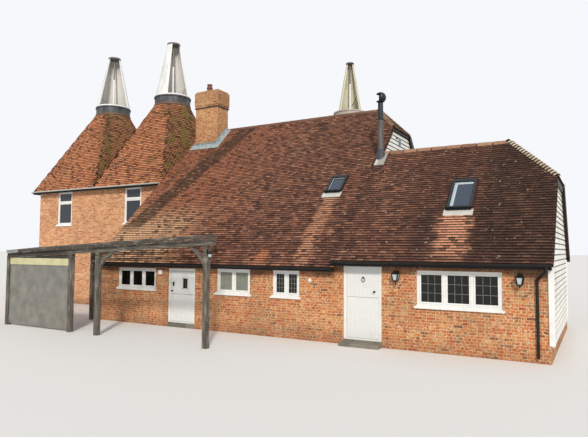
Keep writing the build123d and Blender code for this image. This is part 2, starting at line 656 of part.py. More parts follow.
def hip_roll(edge_x, edge_z, ridge_y, run, drop, side):
    """Half-round tiles down one edge of a half-hip, from the ridge to the gable's eave."""
    foot = Vector(edge_x, ridge_y + side * drop / ROOF_RISE, edge_z - HIP_DROP)
    head = Vector(edge_x - run, ridge_y, edge_z + drop - HIP_DROP)
    way = (head - foot).normalized()
    section = Plane(origin=foot, z_dir=way) * (Circle(HIP_RADIUS) - Circle(HIP_RADIUS - RIDGE_WALL))
    return extrude(section, amount=(head - foot).length, dir=way)


def gutter_x(x0, x1, y, z):
    """A half-round gutter along X with its rim at z."""
    outline = Circle(GUTTER_RADIUS) - Circle(GUTTER_RADIUS - GUTTER_WALL)
    outline -= Pos(0, GUTTER_RADIUS) * Rectangle(2 * GUTTER_RADIUS, 2 * GUTTER_RADIUS)
    return Pos(x0, y, z) * extrude(Plane.YZ * outline, amount=x1 - x0, dir=(1, 0, 0))


def kiln_gutter(length, along_y, x, y):
    """A gutter fixed to its fascia board, under the edge of a kiln roof that starts at x, y."""
    board = span(0, length, 0, FASCIA, KILN_WALL_TOP - FASCIA_DEPTH, KILN_WALL_TOP)
    run = gutter_x(0, length, -GUTTER_RADIUS + GUTTER_WALL / 2, KILN_WALL_TOP - GUTTER_WALL)
    return Pos(x, y, 0) * Rot(0, 0, along_y) * (board + run)


def chimney():
    """The stack from the ground up, with its corbelled head."""
    stack = at(CHIMNEY_WIDTH, CHIMNEY_DEPTH, CHIMNEY_TOP, CHIMNEY_X, CHIMNEY_Y, 0)
    foot = CHIMNEY_TOP - CHIMNEY_HEAD
    middle = foot + CHIMNEY_CORBEL
    for step, z0, z1 in ((1, foot, middle), (2, middle, CHIMNEY_TOP - CHIMNEY_CORBEL)):
        out = step * CHIMNEY_HEAD_STEP
        stack += at(CHIMNEY_WIDTH + out, CHIMNEY_DEPTH + out, z1 - z0, CHIMNEY_X, CHIMNEY_Y, z0)
    return stack


def chimney_pot():
    """A round clay pot with a spread foot and a rolled lip."""
    bore = POT_RADIUS - POT_WALL
    lip = POT_RADIUS + POT_WALL / 2
    waist = POT_RADIUS - POT_WALL / 3
    outline = [(bore, 0), (lip, 0), (POT_RADIUS, POT_HEIGHT / 4), (waist, POT_HEIGHT * 3 / 4),
               (lip, POT_HEIGHT * 5 / 6), (lip, POT_HEIGHT), (bore, POT_HEIGHT)]
    pot = revolve(make_face(Plane.XZ * Polyline(*outline, close=True)), axis=Axis.Z)
    return Pos(CHIMNEY_X + POT_OFF, CHIMNEY_Y, CHIMNEY_TOP) * pot


def lead_apron(x0, x1, y0, y1, top):
    """Lead dressed over the tiles of a slope."""
    points = [(y0, top(y0)), (y1, top(y1)), (y1, top(y1) + LEAD), (y0, top(y0) + LEAD)]
    return across(points, x0, x1)


def flashings():
    """Lead round the chimney's foot and the flue, and below each roof light."""
    front_y = -CHIMNEY_BACK - CHIMNEY_DEPTH
    stack = at(CHIMNEY_WIDTH, CHIMNEY_DEPTH, CHIMNEY_TOP, CHIMNEY_X, CHIMNEY_Y, 0)
    collar = lead_apron(CHIMNEY_X - CHIMNEY_WIDTH / 2 - APRON, CHIMNEY_X + CHIMNEY_WIDTH / 2 + APRON,
                        front_y - APRON, -CHIMNEY_BACK, main_top)
    collar -= stack + ridge_room(0, MAIN_RIDGE_Z)
    hole = Pos(FLUE_X, FLUE_Y, 0) * Cylinder(FLUE_RADIUS + SEAT_GAP, CHIMNEY_TOP * 2)
    reach = FLUE_RADIUS + APRON
    sheet = lead_apron(MAIN_HIP_EDGE_X, FLUE_X + reach, FLUE_Y - reach - APRON, WING_RIDGE_Y, wing_top)
    sheet -= hole + ridge_room(WING_RIDGE_Y, WING_RIDGE_Z)
    pads = [collar, sheet]
    for light, top in ((ROOF_LIGHT_1, main_top), (ROOF_LIGHT_2, wing_top)):
        x, y, width, run = light
        foot = y - run / 2
        half = width / 2 + LIGHT_FRAME
        pads.append(lead_apron(x - half, x + half, foot - LIGHT_APRON, foot, top))
    return pads


def flue():
    """The stove's flue pipe with its collars, its foot inside the roof."""
    foot = wing_top(FLUE_Y) - FLUE_INSIDE
    outline = [(FLUE_RADIUS - FLUE_WALL, 0), (FLUE_RADIUS, 0), (FLUE_RADIUS, FLUE_TOP - foot),
               (FLUE_RADIUS - FLUE_WALL, FLUE_TOP - foot)]
    pipe = revolve(make_face(Plane.XZ * Polyline(*outline, close=True)), axis=Axis.Z)
    pipe = Pos(FLUE_X, FLUE_Y, foot) * pipe
    for z in (FLUE_TOP - FLUE_COLLAR_DROP, wing_top(FLUE_Y) + FLUE_FOOT_COLLAR):
        band = Pos(FLUE_X, FLUE_Y, z) * Cylinder(FLUE_RADIUS + FLUE_WALL / 2, FLUE_COLLAR)
        pipe += band - Pos(FLUE_X, FLUE_Y, z) * Cylinder(FLUE_RADIUS - FLUE_WALL / 2, 2 * FLUE_COLLAR)
    bar_z = FLUE_TOP - 2 * FLUE_WALL - 2 * FLUE_PIN
    bar = at(2 * FLUE_RADIUS - FLUE_WALL, 2 * FLUE_PIN, 2 * FLUE_PIN, FLUE_X, FLUE_Y, bar_z)
    pin_top = FLUE_TOP + FLUE_COWL_LIFT + 2 * FLUE_COWL_RADIUS - FLUE_HUB_TOP - SEAT_GAP
    pin = Pos(FLUE_X, FLUE_Y, bar_z) * standing(FLUE_PIN, pin_top - bar_z)
    return pipe + bar + pin


def flue_cowl():
    """A round hood, open at one side, that turns on the flue's pin."""
    r = FLUE_COWL_RADIUS
    ball = Sphere(r) - Sphere(r - FLUE_WALL)
    ball -= Pos(-r, 0, 0) * Box(2 * r * (1 - FLUE_MOUTH_BACK), 2 * r, 2 * r * FLUE_MOUTH_HIGH)
    ball -= Pos(0, 0, -r) * Cylinder(FLUE_RADIUS - FLUE_WALL, r)
    hub = Pos(0, 0, r / 4) * standing(FLUE_PIN + FLUE_WALL, r * 3 / 4 - FLUE_WALL / 2)
    hub -= standing(FLUE_PIN + SEAT_GAP, r - FLUE_HUB_TOP)
    centre_z = FLUE_TOP + FLUE_COWL_LIFT + r
    return Pos(FLUE_X, FLUE_Y, centre_z) * Rot(0, 0, FLUE_COWL_TURN) * (ball + hub)


def downpipe():
    """The wing's downpipe with its swan neck up to the gutter."""
    top_y = FRONT_Y - WING_EAVE - GUTTER_RADIUS - SEAT_GAP
    wall_y = FRONT_Y - PIPE_RADIUS - PIPE_ROOM
    gutter_z = wing_top(FRONT_Y - WING_EAVE) - EAVE_DEPTH / 2
    outlet = gutter_z - GUTTER_RADIUS - SEAT_GAP
    outlet_x = WING_RIGHT_X - PIPE_OUTLET_IN
    pipe_x = WING_RIGHT_X - PIPE_IN
    drop = outlet - 2 * PIPE_BEND
    neck = drop - (outlet_x - pipe_x)
    path = FilletPolyline((outlet_x, top_y, outlet), (outlet_x, top_y, drop), (pipe_x, wall_y, neck),
                          (pipe_x, wall_y, PIPE_FOOT), radius=PIPE_BEND)
    section = Plane(origin=path @ 0, z_dir=path % 0) * Circle(PIPE_RADIUS)
    return sweep(section, path=path)


def lantern(x):
    """A wall lantern: back plate, arm, tapered body, roof and knob."""
    centre = FRONT_Y - LANTERN_OUT
    eave_z = LANTERN_Z + LANTERN_RISE
    half = LANTERN_ARM / 2
    plate = span(x - LANTERN_CAP, x + LANTERN_CAP, FRONT_Y - LANTERN_ARM, FRONT_Y,
                 LANTERN_Z - LANTERN_ARM, eave_z + LANTERN_ROOF)
    arm = span(x - half, x + half, centre, FRONT_Y, eave_z, eave_z + LANTERN_ARM)

    def square(size, z):
        return Pos(x, centre, z) * Rectangle(size, size)

    body = loft([square(LANTERN_FOOT, LANTERN_Z - LANTERN_DROP), square(LANTERN_HEAD, eave_z)])
    roof = loft([square(LANTERN_EAVE, eave_z), square(LANTERN_CAP, eave_z + LANTERN_ROOF)])
    knob = Pos(x, centre, eave_z + LANTERN_ROOF) * standing(LANTERN_KNOB, 2 * LANTERN_KNOB)
    return plate + arm + body + roof + knob


def pergola_z(x, y):
    """Height of the boards' upper face over a place."""
    return PERGOLA_TOP - PERGOLA_FALL * (PERGOLA_RIGHT - x) + PERGOLA_PITCH * (y - PERGOLA_Y)


def splayed(x, y):
    """Where a joist that starts at x on the front plate has got to at y."""
    return x - PERGOLA_SPLAY * (y - PERGOLA_Y)


def timber(x0, x1, y0, y1, top, depth):
    """A timber between two splayed lines and two depths, its top a distance below the boards' face."""
    ends = []
    for y in (y0, y1):
        left, right = splayed(x0, y), splayed(x1, y)
        left_z, right_z = pergola_z(left, y) - top, pergola_z(right, y) - top
        points = [(left, left_z - depth), (right, right_z - depth), (right, right_z), (left, left_z)]
        ends.append(Pos(0, y, 0) * make_face(Plane.XZ * Polyline(*points, close=True)))
    return loft(ends, ruled=True)


def brace(post_x, side, run, rise):
    """A naturally curved brace from a post up to the plate."""
    foot_x = post_x + side * PERGOLA_POST / 2
    head_z = pergola_z(foot_x + side * run, PERGOLA_Y) - PLATE_TOP - PLATE_DEPTH
    start = (foot_x, head_z - rise)
    end = (foot_x + side * run, head_z)
    bow = BRACE_BOW * run
    middle = ((start[0] + end[0]) / 2 - side * bow, (start[1] + end[1]) / 2 + bow)
    inner_end = (end[0] - side * BRACE_DEPTH * 5 / 4, head_z)
    inner_start = (foot_x, start[1] + BRACE_DEPTH * 5 / 4)
    inner_mid = (middle[0] - side * BRACE_DEPTH * 2 / 3, middle[1] + BRACE_DEPTH * 2 / 3)
    outline = [ThreePointArc(start, middle, end), Line(end, inner_end),
               ThreePointArc(inner_end, inner_mid, inner_start), Line(inner_start, start)]
    face = make_face(Plane.XZ * Curve(children=outline))
    return Pos(0, PERGOLA_Y - BRACE_WIDTH / 2, 0) * extrude(face, amount=BRACE_WIDTH, dir=(0, 1, 0))


def post(x, y):
    """A post from the ground into the plate over it."""
    return at(PERGOLA_POST, PERGOLA_POST, pergola_z(x, y) - PLATE_TOP - PLATE_DEPTH / 2, x, y, 0)


def pergola_frame():
    """Front plate, posts, curved braces and the short rear plate at the left end."""
    half = PLATE_WIDTH / 2
    frame = timber(PERGOLA_LEFT, PERGOLA_RIGHT, PERGOLA_Y - half, PERGOLA_Y + half, PLATE_TOP, PLATE_DEPTH)
    for x in (POST_1_X, POST_2_X, POST_3_X, POST_4_X):
        frame += post(x, PERGOLA_Y)
    frame += brace(POST_1_X, -1, BRACE_RUN, BRACE_RISE)
    frame += brace(POST_2_X, 1, BRACE_RUN + LONG_BRACE, BRACE_RISE)
    over = HOUSE_CORNER_X + REAR_PLATE_OVER + PERGOLA_SPLAY * (PERGOLA_REAR_Y - PERGOLA_Y)
    rear = timber(PERGOLA_LEFT, over, PERGOLA_REAR_Y - half, PERGOLA_REAR_Y + half, PLATE_TOP, PLATE_DEPTH)
    corner_x = HOUSE_CORNER_X - CORNER_GAP - PERGOLA_POST / 2
    rear += post(corner_x, PERGOLA_REAR_Y) + post(splayed(POST_4_X, PERGOLA_REAR_Y), PERGOLA_REAR_Y)
    return frame, rear


def pergola_joists():
    """Splayed joists from the front plate back to the main roof, or to the rear plate at the left end."""
    heel_y = FRONT_Y + JOIST_HEEL
    eave_y = FRONT_Y - MAIN_EAVE - SEAT_GAP
    slope = across([(eave_y, 0), (0, 0), (0, main_top(0)), (eave_y, main_top(eave_y))],
                   HOUSE_CORNER_X, MAIN_RIGHT_X)
    joists = []
    count = int((PERGOLA_RIGHT - PERGOLA_LEFT - JOIST_WIDTH) // JOIST_SPACING)
    for number in range(count + 1):
        x = PERGOLA_RIGHT - JOIST_WIDTH - number * JOIST_SPACING
        over_roof = splayed(x - JOIST_WIDTH, heel_y) > HOUSE_CORNER_X
        rear_y = heel_y if over_roof else PERGOLA_REAR_Y + JOIST_NOSE
        joist = timber(x - JOIST_WIDTH / 2, x + JOIST_WIDTH / 2, PERGOLA_Y - JOIST_NOSE, rear_y,
                       BOARD_DEPTH, JOIST_DEPTH)
        if over_roof:
            joist -= slope
        joists.append(joist)
    return joists


def pergola_boards():
    """Long boards over the joists."""
    boards = []
    for number in range(BOARDS):
        y = PERGOLA_Y - JOIST_NOSE + number * BOARD_SPACING
        boards.append(timber(PERGOLA_LEFT, PERGOLA_RIGHT, y, y + BOARD_WIDTH, 0, BOARD_DEPTH))
    return boards


def pergola_screen():
    """The pale rail and grey sheet that close the pergola's left bay."""
    x0 = POST_4_X + PERGOLA_POST / 2
    x1 = POST_3_X - PERGOLA_POST / 2
    y0 = PERGOLA_Y - SCREEN_THICK / 2
    top = pergola_z(x0, PERGOLA_Y - PLATE_WIDTH / 2) - PLATE_TOP - PLATE_DEPTH
    sheet = span(x0, x1, y0, y0 + SCREEN_THICK, SCREEN_FOOT, top - SCREEN_RAIL)
    return sheet + span(x0, x1, y0 - RAIL_PROUD, y0 + SCREEN_THICK + RAIL_PROUD, top - SCREEN_RAIL, top)


def main_volume(x0, x1):
    """All that lies under the main range's two slopes."""
    foot_z = main_top(FAR)
    return across([(-FAR, -FAR), (FAR, -FAR), (FAR, foot_z), (0, MAIN_RIDGE_Z), (-FAR, foot_z)], x0, x1)


def group(shapes):
    """Several separate solids of one piece."""
    return Compound(children=list(shapes))


def save_walls():
    front_left, front_middle, pier, front_right, sills, heads = front_walls()
    save("front_wall_left", front_left)
    save("front_wall_middle", front_middle)
    save("front_wall_pier", pier)
    save("front_wall_right", front_right)
    save("door_heads", group(heads))
    half = DOOR_2_WIDTH / 2
    step = span(DOOR_2_X - half, DOOR_2_X + half, FRONT_Y - STEP_TREAD, FRONT_Y, 0, STEP_HEIGHT)
    save("door_sills", group([*sills, step]))

    front, kilns, rear = wall_windows()
    left = gable(MAIN_LEFT_X, MAIN_LEFT_X + GABLE_WALL, 0, MAIN_RIDGE_Z, FRONT_Y, MAIN_REAR)
    right = gable(MAIN_RIGHT_X - GABLE_WALL, MAIN_RIGHT_X, 0, MAIN_RIDGE_Z, FRONT_Y, MAIN_REAR)
    right &= under_hip(MAIN_HIP_EDGE_X, MAIN_HIP_EDGE_Z, MAIN_HIP_RUN, MAIN_HIP_DROP, ROOF_DEPTH)
    wing = gable(WING_RIGHT_X - GABLE_WALL, WING_RIGHT_X, WING_RIDGE_Y, WING_RIDGE_Z, FRONT_Y, WING_REAR_Y)
    wing &= under_hip(WING_HIP_EDGE_X, WING_HIP_EDGE_Z, WING_HIP_RUN, WING_HIP_DROP, ROOF_DEPTH)
    save("main_gable_left", left)
    save("main_gable_right", right)
    save("wing_gable", wing)

    y1 = MAIN_REAR
    y0 = y1 - WALL
    rear_wall = across([(y0, 0), (y1, 0), (y1, main_top(y1) - ROOF_DEPTH), (y0, main_top(y0) - ROOF_DEPTH)],
                       MAIN_LEFT_X + GABLE_WALL, MAIN_RIGHT_X - GABLE_WALL)
    for window, face_y, outward in rear[3:5]:
        rear_wall -= window_hole(window, y0, y1)
    save("main_rear_wall", rear_wall)

    y1 = WING_REAR_Y
    y0 = y1 - WALL
    wing_rear = across([(y0, 0), (y1, 0), (y1, wing_top(y1) - ROOF_DEPTH), (y0, wing_top(y0) - ROOF_DEPTH)],
                       MAIN_RIGHT_X, WING_RIGHT_X - GABLE_WALL)
    wing_rear -= window_hole(WINDOW_4, y0, y1)
    save("wing_rear_wall", wing_rear)


def save_kilns():
    front, kilns, rear = wall_windows()
    range_volume = main_volume(HOUSE_CORNER_X, MAIN_HIP_EDGE_X)
    front_wall = span(KILN_LEFT_X, MAIN_LEFT_X, KILN_FRONT_Y, KILN_FRONT_Y + KILN_WALL, 0, KILN_WALL_TOP)
    rear_wall = span(KILN_LEFT_X, MAIN_LEFT_X, KILN_REAR_Y - KILN_WALL, KILN_REAR_Y, 0, KILN_WALL_TOP)
    for window, face_y, outward in kilns:
        front_wall -= window_hole(window, KILN_FRONT_Y, KILN_FRONT_Y + KILN_WALL)
        rear_wall -= window_hole(window, KILN_REAR_Y - KILN_WALL, KILN_REAR_Y)
    save("kiln_front_wall", front_wall)
    save("kiln_rear_wall", rear_wall - range_volume)
    inner = (KILN_FRONT_Y + KILN_WALL, KILN_REAR_Y - KILN_WALL)
    half = KILN_WALL / 2
    save("kiln_side_walls", group([
        span(KILN_LEFT_X, KILN_LEFT_X + KILN_WALL, *inner, 0, KILN_WALL_TOP),
        span(KILN_PARTY_X - half, KILN_PARTY_X + half, *inner, 0, KILN_WALL_TOP)]))

    x0, x1 = KILN_3_X - KILN_WIDTH / 2, KILN_3_X + KILN_WIDTH / 2
    third_rear = span(x0, x1, KILN_3_REAR_Y - KILN_WALL, KILN_3_REAR_Y, 0, KILN_WALL_TOP)
    third_rear -= window_hole(rear[2][0], KILN_3_REAR_Y - KILN_WALL, KILN_3_REAR_Y)
    save("kiln_3_rear_wall", third_rear)
    inner_3 = (KILN_3_FRONT_Y, KILN_3_REAR_Y - KILN_WALL)
    save("kiln_3_side_walls", group([
        span(x0, x0 + KILN_WALL, *inner_3, 0, KILN_WALL_TOP),
        span(x1 - KILN_WALL, x1, *inner_3, 0, KILN_WALL_TOP)]))
    save("kiln_3_front_wall", span(x0 + KILN_WALL, x1 - KILN_WALL,
                                   KILN_3_FRONT_Y, KILN_3_FRONT_Y + KILN_WALL, 0, KILN_WALL_TOP))

    rooms = [(KILN_LEFT_X + KILN_WALL, KILN_PARTY_X - half, *inner),
             (KILN_PARTY_X + half, MAIN_LEFT_X, *inner),
             (x0 + KILN_WALL, x1 - KILN_WALL, KILN_3_FRONT_Y + KILN_WALL, KILN_3_REAR_Y - KILN_WALL)]
    boards_z = KILN_FLOOR_TOP - UPPER_FLOOR_DEPTH
    save("kiln_upper_floors", group(span(*room, boards_z, KILN_FLOOR_TOP) for room in rooms))
    main_room = span(MAIN_LEFT_X + GABLE_WALL, MAIN_RIGHT_X - GABLE_WALL, FRONT_Y + WALL, MAIN_REAR - WALL,
                     0, FLOOR_Z)
    main_room -= at(CHIMNEY_WIDTH, CHIMNEY_DEPTH, CHIMNEY_TOP, CHIMNEY_X, CHIMNEY_Y, 0)
    wing_room = span(MAIN_RIGHT_X, WING_RIGHT_X - GABLE_WALL, FRONT_Y + WALL, WING_REAR_Y - WALL,
                     0, FLOOR_Z)
    save("ground_floors", group([main_room, wing_room, *[span(*room, 0, FLOOR_Z) for room in rooms]]))

    e = KILN_EAVE
    centres = ((KILN_1_X, KILN_CENTRE_Y), (KILN_2_X, KILN_CENTRE_Y), (KILN_3_X, KILN_3_Y))
    roof_1 = kiln_roof(KILN_LEFT_X, KILN_PARTY_X, KILN_FRONT_Y, KILN_REAR_Y, centres[0], (e, 0, e, e))
    roof_2 = kiln_roof(KILN_PARTY_X, MAIN_LEFT_X, KILN_FRONT_Y, KILN_REAR_Y, centres[1], (0, 0, e, e))
    roof_3 = kiln_roof(x0, x1, KILN_3_FRONT_Y, KILN_3_REAR_Y, centres[2], (e, e, 0, e))
    save("kiln_1_roof", roof_1)
    save("kiln_2_roof", roof_2 - range_volume)
    save("kiln_3_roof", roof_3 - range_volume)
    turns = (COWL_1_TURN, COWL_2_TURN, COWL_3_TURN)
    for number, (centre, turn) in enumerate(zip(centres, turns), start=1):
        save("kiln_%d_kerb" % number, kerb(*centre))
        small = number == 3
        base = COWL_3_BASE_RADIUS if small else COWL_BASE_RADIUS
        top = COWL_3_TOP_RADIUS if small else COWL_TOP_RADIUS
        save("cowl_%d" % number, Pos(*centre, KERB_Z + KERB_HEIGHT + COWL_LIFT) * cowl(base, top, turn))
    save("cowl_posts", group(cowl_post(*centre) for centre in centres))


def save_roofs():
    front, rear, hip = main_roof()
    wing_front, wing_rear, wing_hip = wing_roof()
    stack = at(CHIMNEY_WIDTH, CHIMNEY_DEPTH, CHIMNEY_TOP, CHIMNEY_X, CHIMNEY_Y, 0)
    pipe_hole = Pos(FLUE_X, FLUE_Y, 0) * Cylinder(FLUE_RADIUS + FLUE_WALL, CHIMNEY_TOP * 2)
    save("main_roof_front", front - stack - roof_light_hole(ROOF_LIGHT_1, main_top))
    x0, x1 = KILN_3_X - KILN_WIDTH / 2, KILN_3_X + KILN_WIDTH / 2
    save("main_roof_rear", rear - span(x0, x1, MAIN_REAR, FAR, 0, FAR))
    save("wing_roof_front", wing_front - pipe_hole - roof_light_hole(ROOF_LIGHT_2, wing_top))
    save("wing_roof_rear", wing_rear)
    save("half_hips", group([hip, wing_hip]))
    main_prism = main_volume(-FAR, MAIN_HIP_EDGE_X)
    main_prism &= under_hip(MAIN_HIP_EDGE_X, MAIN_HIP_EDGE_Z, MAIN_HIP_RUN, MAIN_HIP_DROP, 0)
    wing_prism = across([(-FAR, -FAR), (FAR, -FAR), (FAR, wing_top(FAR)), (WING_RIDGE_Y, WING_RIDGE_Z),
                         (-FAR, wing_top(-FAR))], MAIN_RIGHT_X, WING_HIP_EDGE_X)
    wing_prism &= under_hip(WING_HIP_EDGE_X, WING_HIP_EDGE_Z, WING_HIP_RUN, WING_HIP_DROP, 0)
    main_ridge = ridge_roll(HOUSE_CORNER_X, MAIN_HIP_EDGE_X - MAIN_HIP_RUN, 0, MAIN_RIDGE_Z)
    wing_ridge = ridge_roll(MAIN_RIGHT_X, WING_HIP_EDGE_X - WING_HIP_RUN, WING_RIDGE_Y, WING_RIDGE_Z)
    main_hip = (MAIN_HIP_EDGE_X, MAIN_HIP_EDGE_Z, 0, MAIN_HIP_RUN, MAIN_HIP_DROP)
    wing_hip_edge = (WING_HIP_EDGE_X, WING_HIP_EDGE_Z, WING_RIDGE_Y, WING_HIP_RUN, WING_HIP_DROP)
    for side in (-1, 1):
        main_ridge += hip_roll(*main_hip, side)
        wing_ridge += hip_roll(*wing_hip_edge, side)
    wing_ridge -= wing_prism + main_prism + pipe_hole
    save("ridge_tiles", group([main_ridge - main_prism - stack, wing_ridge]))
    frame_1, pane_1 = roof_light(ROOF_LIGHT_1, main_top)
    frame_2, pane_2 = roof_light(ROOF_LIGHT_2, wing_top)
    save("roof_light_frames", group([frame_1, frame_2]))
    return pane_1, pane_2


def save_fittings(roof_panes):
    front, kilns, rear = wall_windows()
    save("front_window_frames", group(window_frame(*entry) for entry in front))
    save("kiln_window_frames", group(window_frame(*entry) for entry in kilns + rear[:3]))
    save("rear_window_frames", group(window_frame(*entry) for entry in rear[3:]))
    panes = list(roof_panes)
    for entry in front + kilns + rear:
        panes += window_glass(*entry)
    save("window_glass", group(panes))

    doors = ((1, DOOR_1_X, DOOR_1_WIDTH, DOOR_1_TOP, DOOR_1_SPLIT, 1),
             (2, DOOR_2_X, DOOR_2_WIDTH, DOOR_2_TOP, DOOR_2_SPLIT, -1))
    frames = []
    for number, x, width, top, split, side in doors:
        frames.append(door_frame(x, width, top, split, side))
        lower_hinges, upper_hinges = hinge_heights(split, top)
        lower = door_leaf(x, width, DOOR_SILL_Z + LEAF_GAP, split - LEAF_GAP / 2, side, lower_hinges)
        upper = door_leaf(x, width, split + LEAF_GAP / 2, top - DOOR_FRAME - LEAF_GAP, side, upper_hinges)
        if number == 1:
            upper -= at(DOOR_LIGHT_WIDTH, WALL, DOOR_LIGHT_HEIGHT, x + DOOR_LIGHT_OFF, FRONT_Y,
                        split + DOOR_LIGHT_ABOVE)
        save("door_%d_lower" % number, lower)
        save("door_%d_upper" % number, upper)
    save("door_frames", group(frames))

    save("chimney_stack", chimney())
    save("chimney_pot", chimney_pot())
    save("lead_flashings", group(flashings()))
    save("flue_pipe", flue())
    save("flue_cowl", flue_cowl())
    main_z = main_top(FRONT_Y - MAIN_EAVE) - EAVE_DEPTH / 2
    main_rear_z = main_top(MAIN_REAR + MAIN_EAVE) - EAVE_DEPTH / 2
    wing_z = wing_top(FRONT_Y - WING_EAVE) - EAVE_DEPTH / 2
    off = GUTTER_RADIUS + SEAT_GAP
    third = (KILN_3_X - KILN_WIDTH / 2 - SEAT_GAP, KILN_3_X + KILN_WIDTH / 2 + SEAT_GAP)
    save("range_gutters", group([
        gutter_x(HOUSE_CORNER_X, MAIN_RIGHT_X - SEAT_GAP, FRONT_Y - MAIN_EAVE - off, main_z),
        gutter_x(HOUSE_CORNER_X, third[0] - KILN_EAVE, MAIN_REAR + MAIN_EAVE + off, main_rear_z),
        gutter_x(third[1] + KILN_EAVE, MAIN_HIP_EDGE_X, MAIN_REAR + MAIN_EAVE + off, main_rear_z),
        gutter_x(MAIN_RIGHT_X, WING_HIP_EDGE_X, FRONT_Y - WING_EAVE - off, wing_z),
        gutter_x(MAIN_RIGHT_X, WING_HIP_EDGE_X, WING_REAR_Y + WING_EAVE + off, wing_z)]))
    eave_x = KILN_LEFT_X - KILN_EAVE
    front_y = KILN_FRONT_Y - KILN_EAVE
    rear_y = KILN_REAR_Y + KILN_EAVE
    third_width = KILN_WIDTH + 2 * KILN_EAVE
    save("kiln_gutters", group([
        kiln_gutter(HOUSE_CORNER_X - eave_x, 0, eave_x, front_y),
        kiln_gutter(HOUSE_CORNER_X - eave_x, 180, HOUSE_CORNER_X, rear_y),
        kiln_gutter(rear_y - front_y - 2 * FASCIA, -90, eave_x, rear_y - FASCIA),
        kiln_gutter(third_width, 180, third[1] + KILN_EAVE, KILN_3_REAR_Y + KILN_EAVE)]))
    save("downpipe", downpipe())
    save("wall_lanterns", group([lantern(MAIN_RIGHT_X + LANTERN_1_IN), lantern(WING_RIGHT_X - LANTERN_2_IN)]))
    save("pergola_frame", group(pergola_frame()))
    save("pergola_joists", group(pergola_joists()))
    save("pergola_boards", group(pergola_boards()))
    save("pergola_screen", pergola_screen())


save_walls()
save_kilns()
save_fittings(save_roofs())
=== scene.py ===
from functools import partialmethod
import math

import bmesh
import bpy
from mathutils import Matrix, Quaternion, Vector
from mathutils.bvhtree import BVHTree


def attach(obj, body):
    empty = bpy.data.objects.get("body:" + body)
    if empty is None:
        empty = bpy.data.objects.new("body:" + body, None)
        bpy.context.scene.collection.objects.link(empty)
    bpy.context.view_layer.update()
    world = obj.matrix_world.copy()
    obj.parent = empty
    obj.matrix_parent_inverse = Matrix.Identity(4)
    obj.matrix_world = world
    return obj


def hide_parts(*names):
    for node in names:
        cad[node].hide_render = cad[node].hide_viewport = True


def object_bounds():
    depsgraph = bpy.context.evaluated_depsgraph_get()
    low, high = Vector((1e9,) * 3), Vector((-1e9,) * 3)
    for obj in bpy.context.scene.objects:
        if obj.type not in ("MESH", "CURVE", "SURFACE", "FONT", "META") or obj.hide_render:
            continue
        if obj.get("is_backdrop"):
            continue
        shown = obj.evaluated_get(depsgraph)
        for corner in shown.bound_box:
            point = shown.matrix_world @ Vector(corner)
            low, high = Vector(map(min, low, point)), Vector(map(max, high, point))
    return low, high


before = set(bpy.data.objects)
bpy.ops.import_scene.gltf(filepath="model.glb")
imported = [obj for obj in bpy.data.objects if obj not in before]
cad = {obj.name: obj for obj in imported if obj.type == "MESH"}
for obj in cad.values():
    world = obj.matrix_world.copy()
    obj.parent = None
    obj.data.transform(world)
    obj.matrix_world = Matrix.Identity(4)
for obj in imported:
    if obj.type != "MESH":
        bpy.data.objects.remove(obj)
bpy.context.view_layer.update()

# Brick walls: soft orange-red stocks with a few burnt and yellow ones among them, each course laid
# with a long and a short brick by turns in pale lime mortar. The walls themselves are CAD solids.
BRICK = 0.2250
COURSE = 0.0750
JOINT = 0.0100
FRONT = -5.8
STACK_HEAD = 9.0


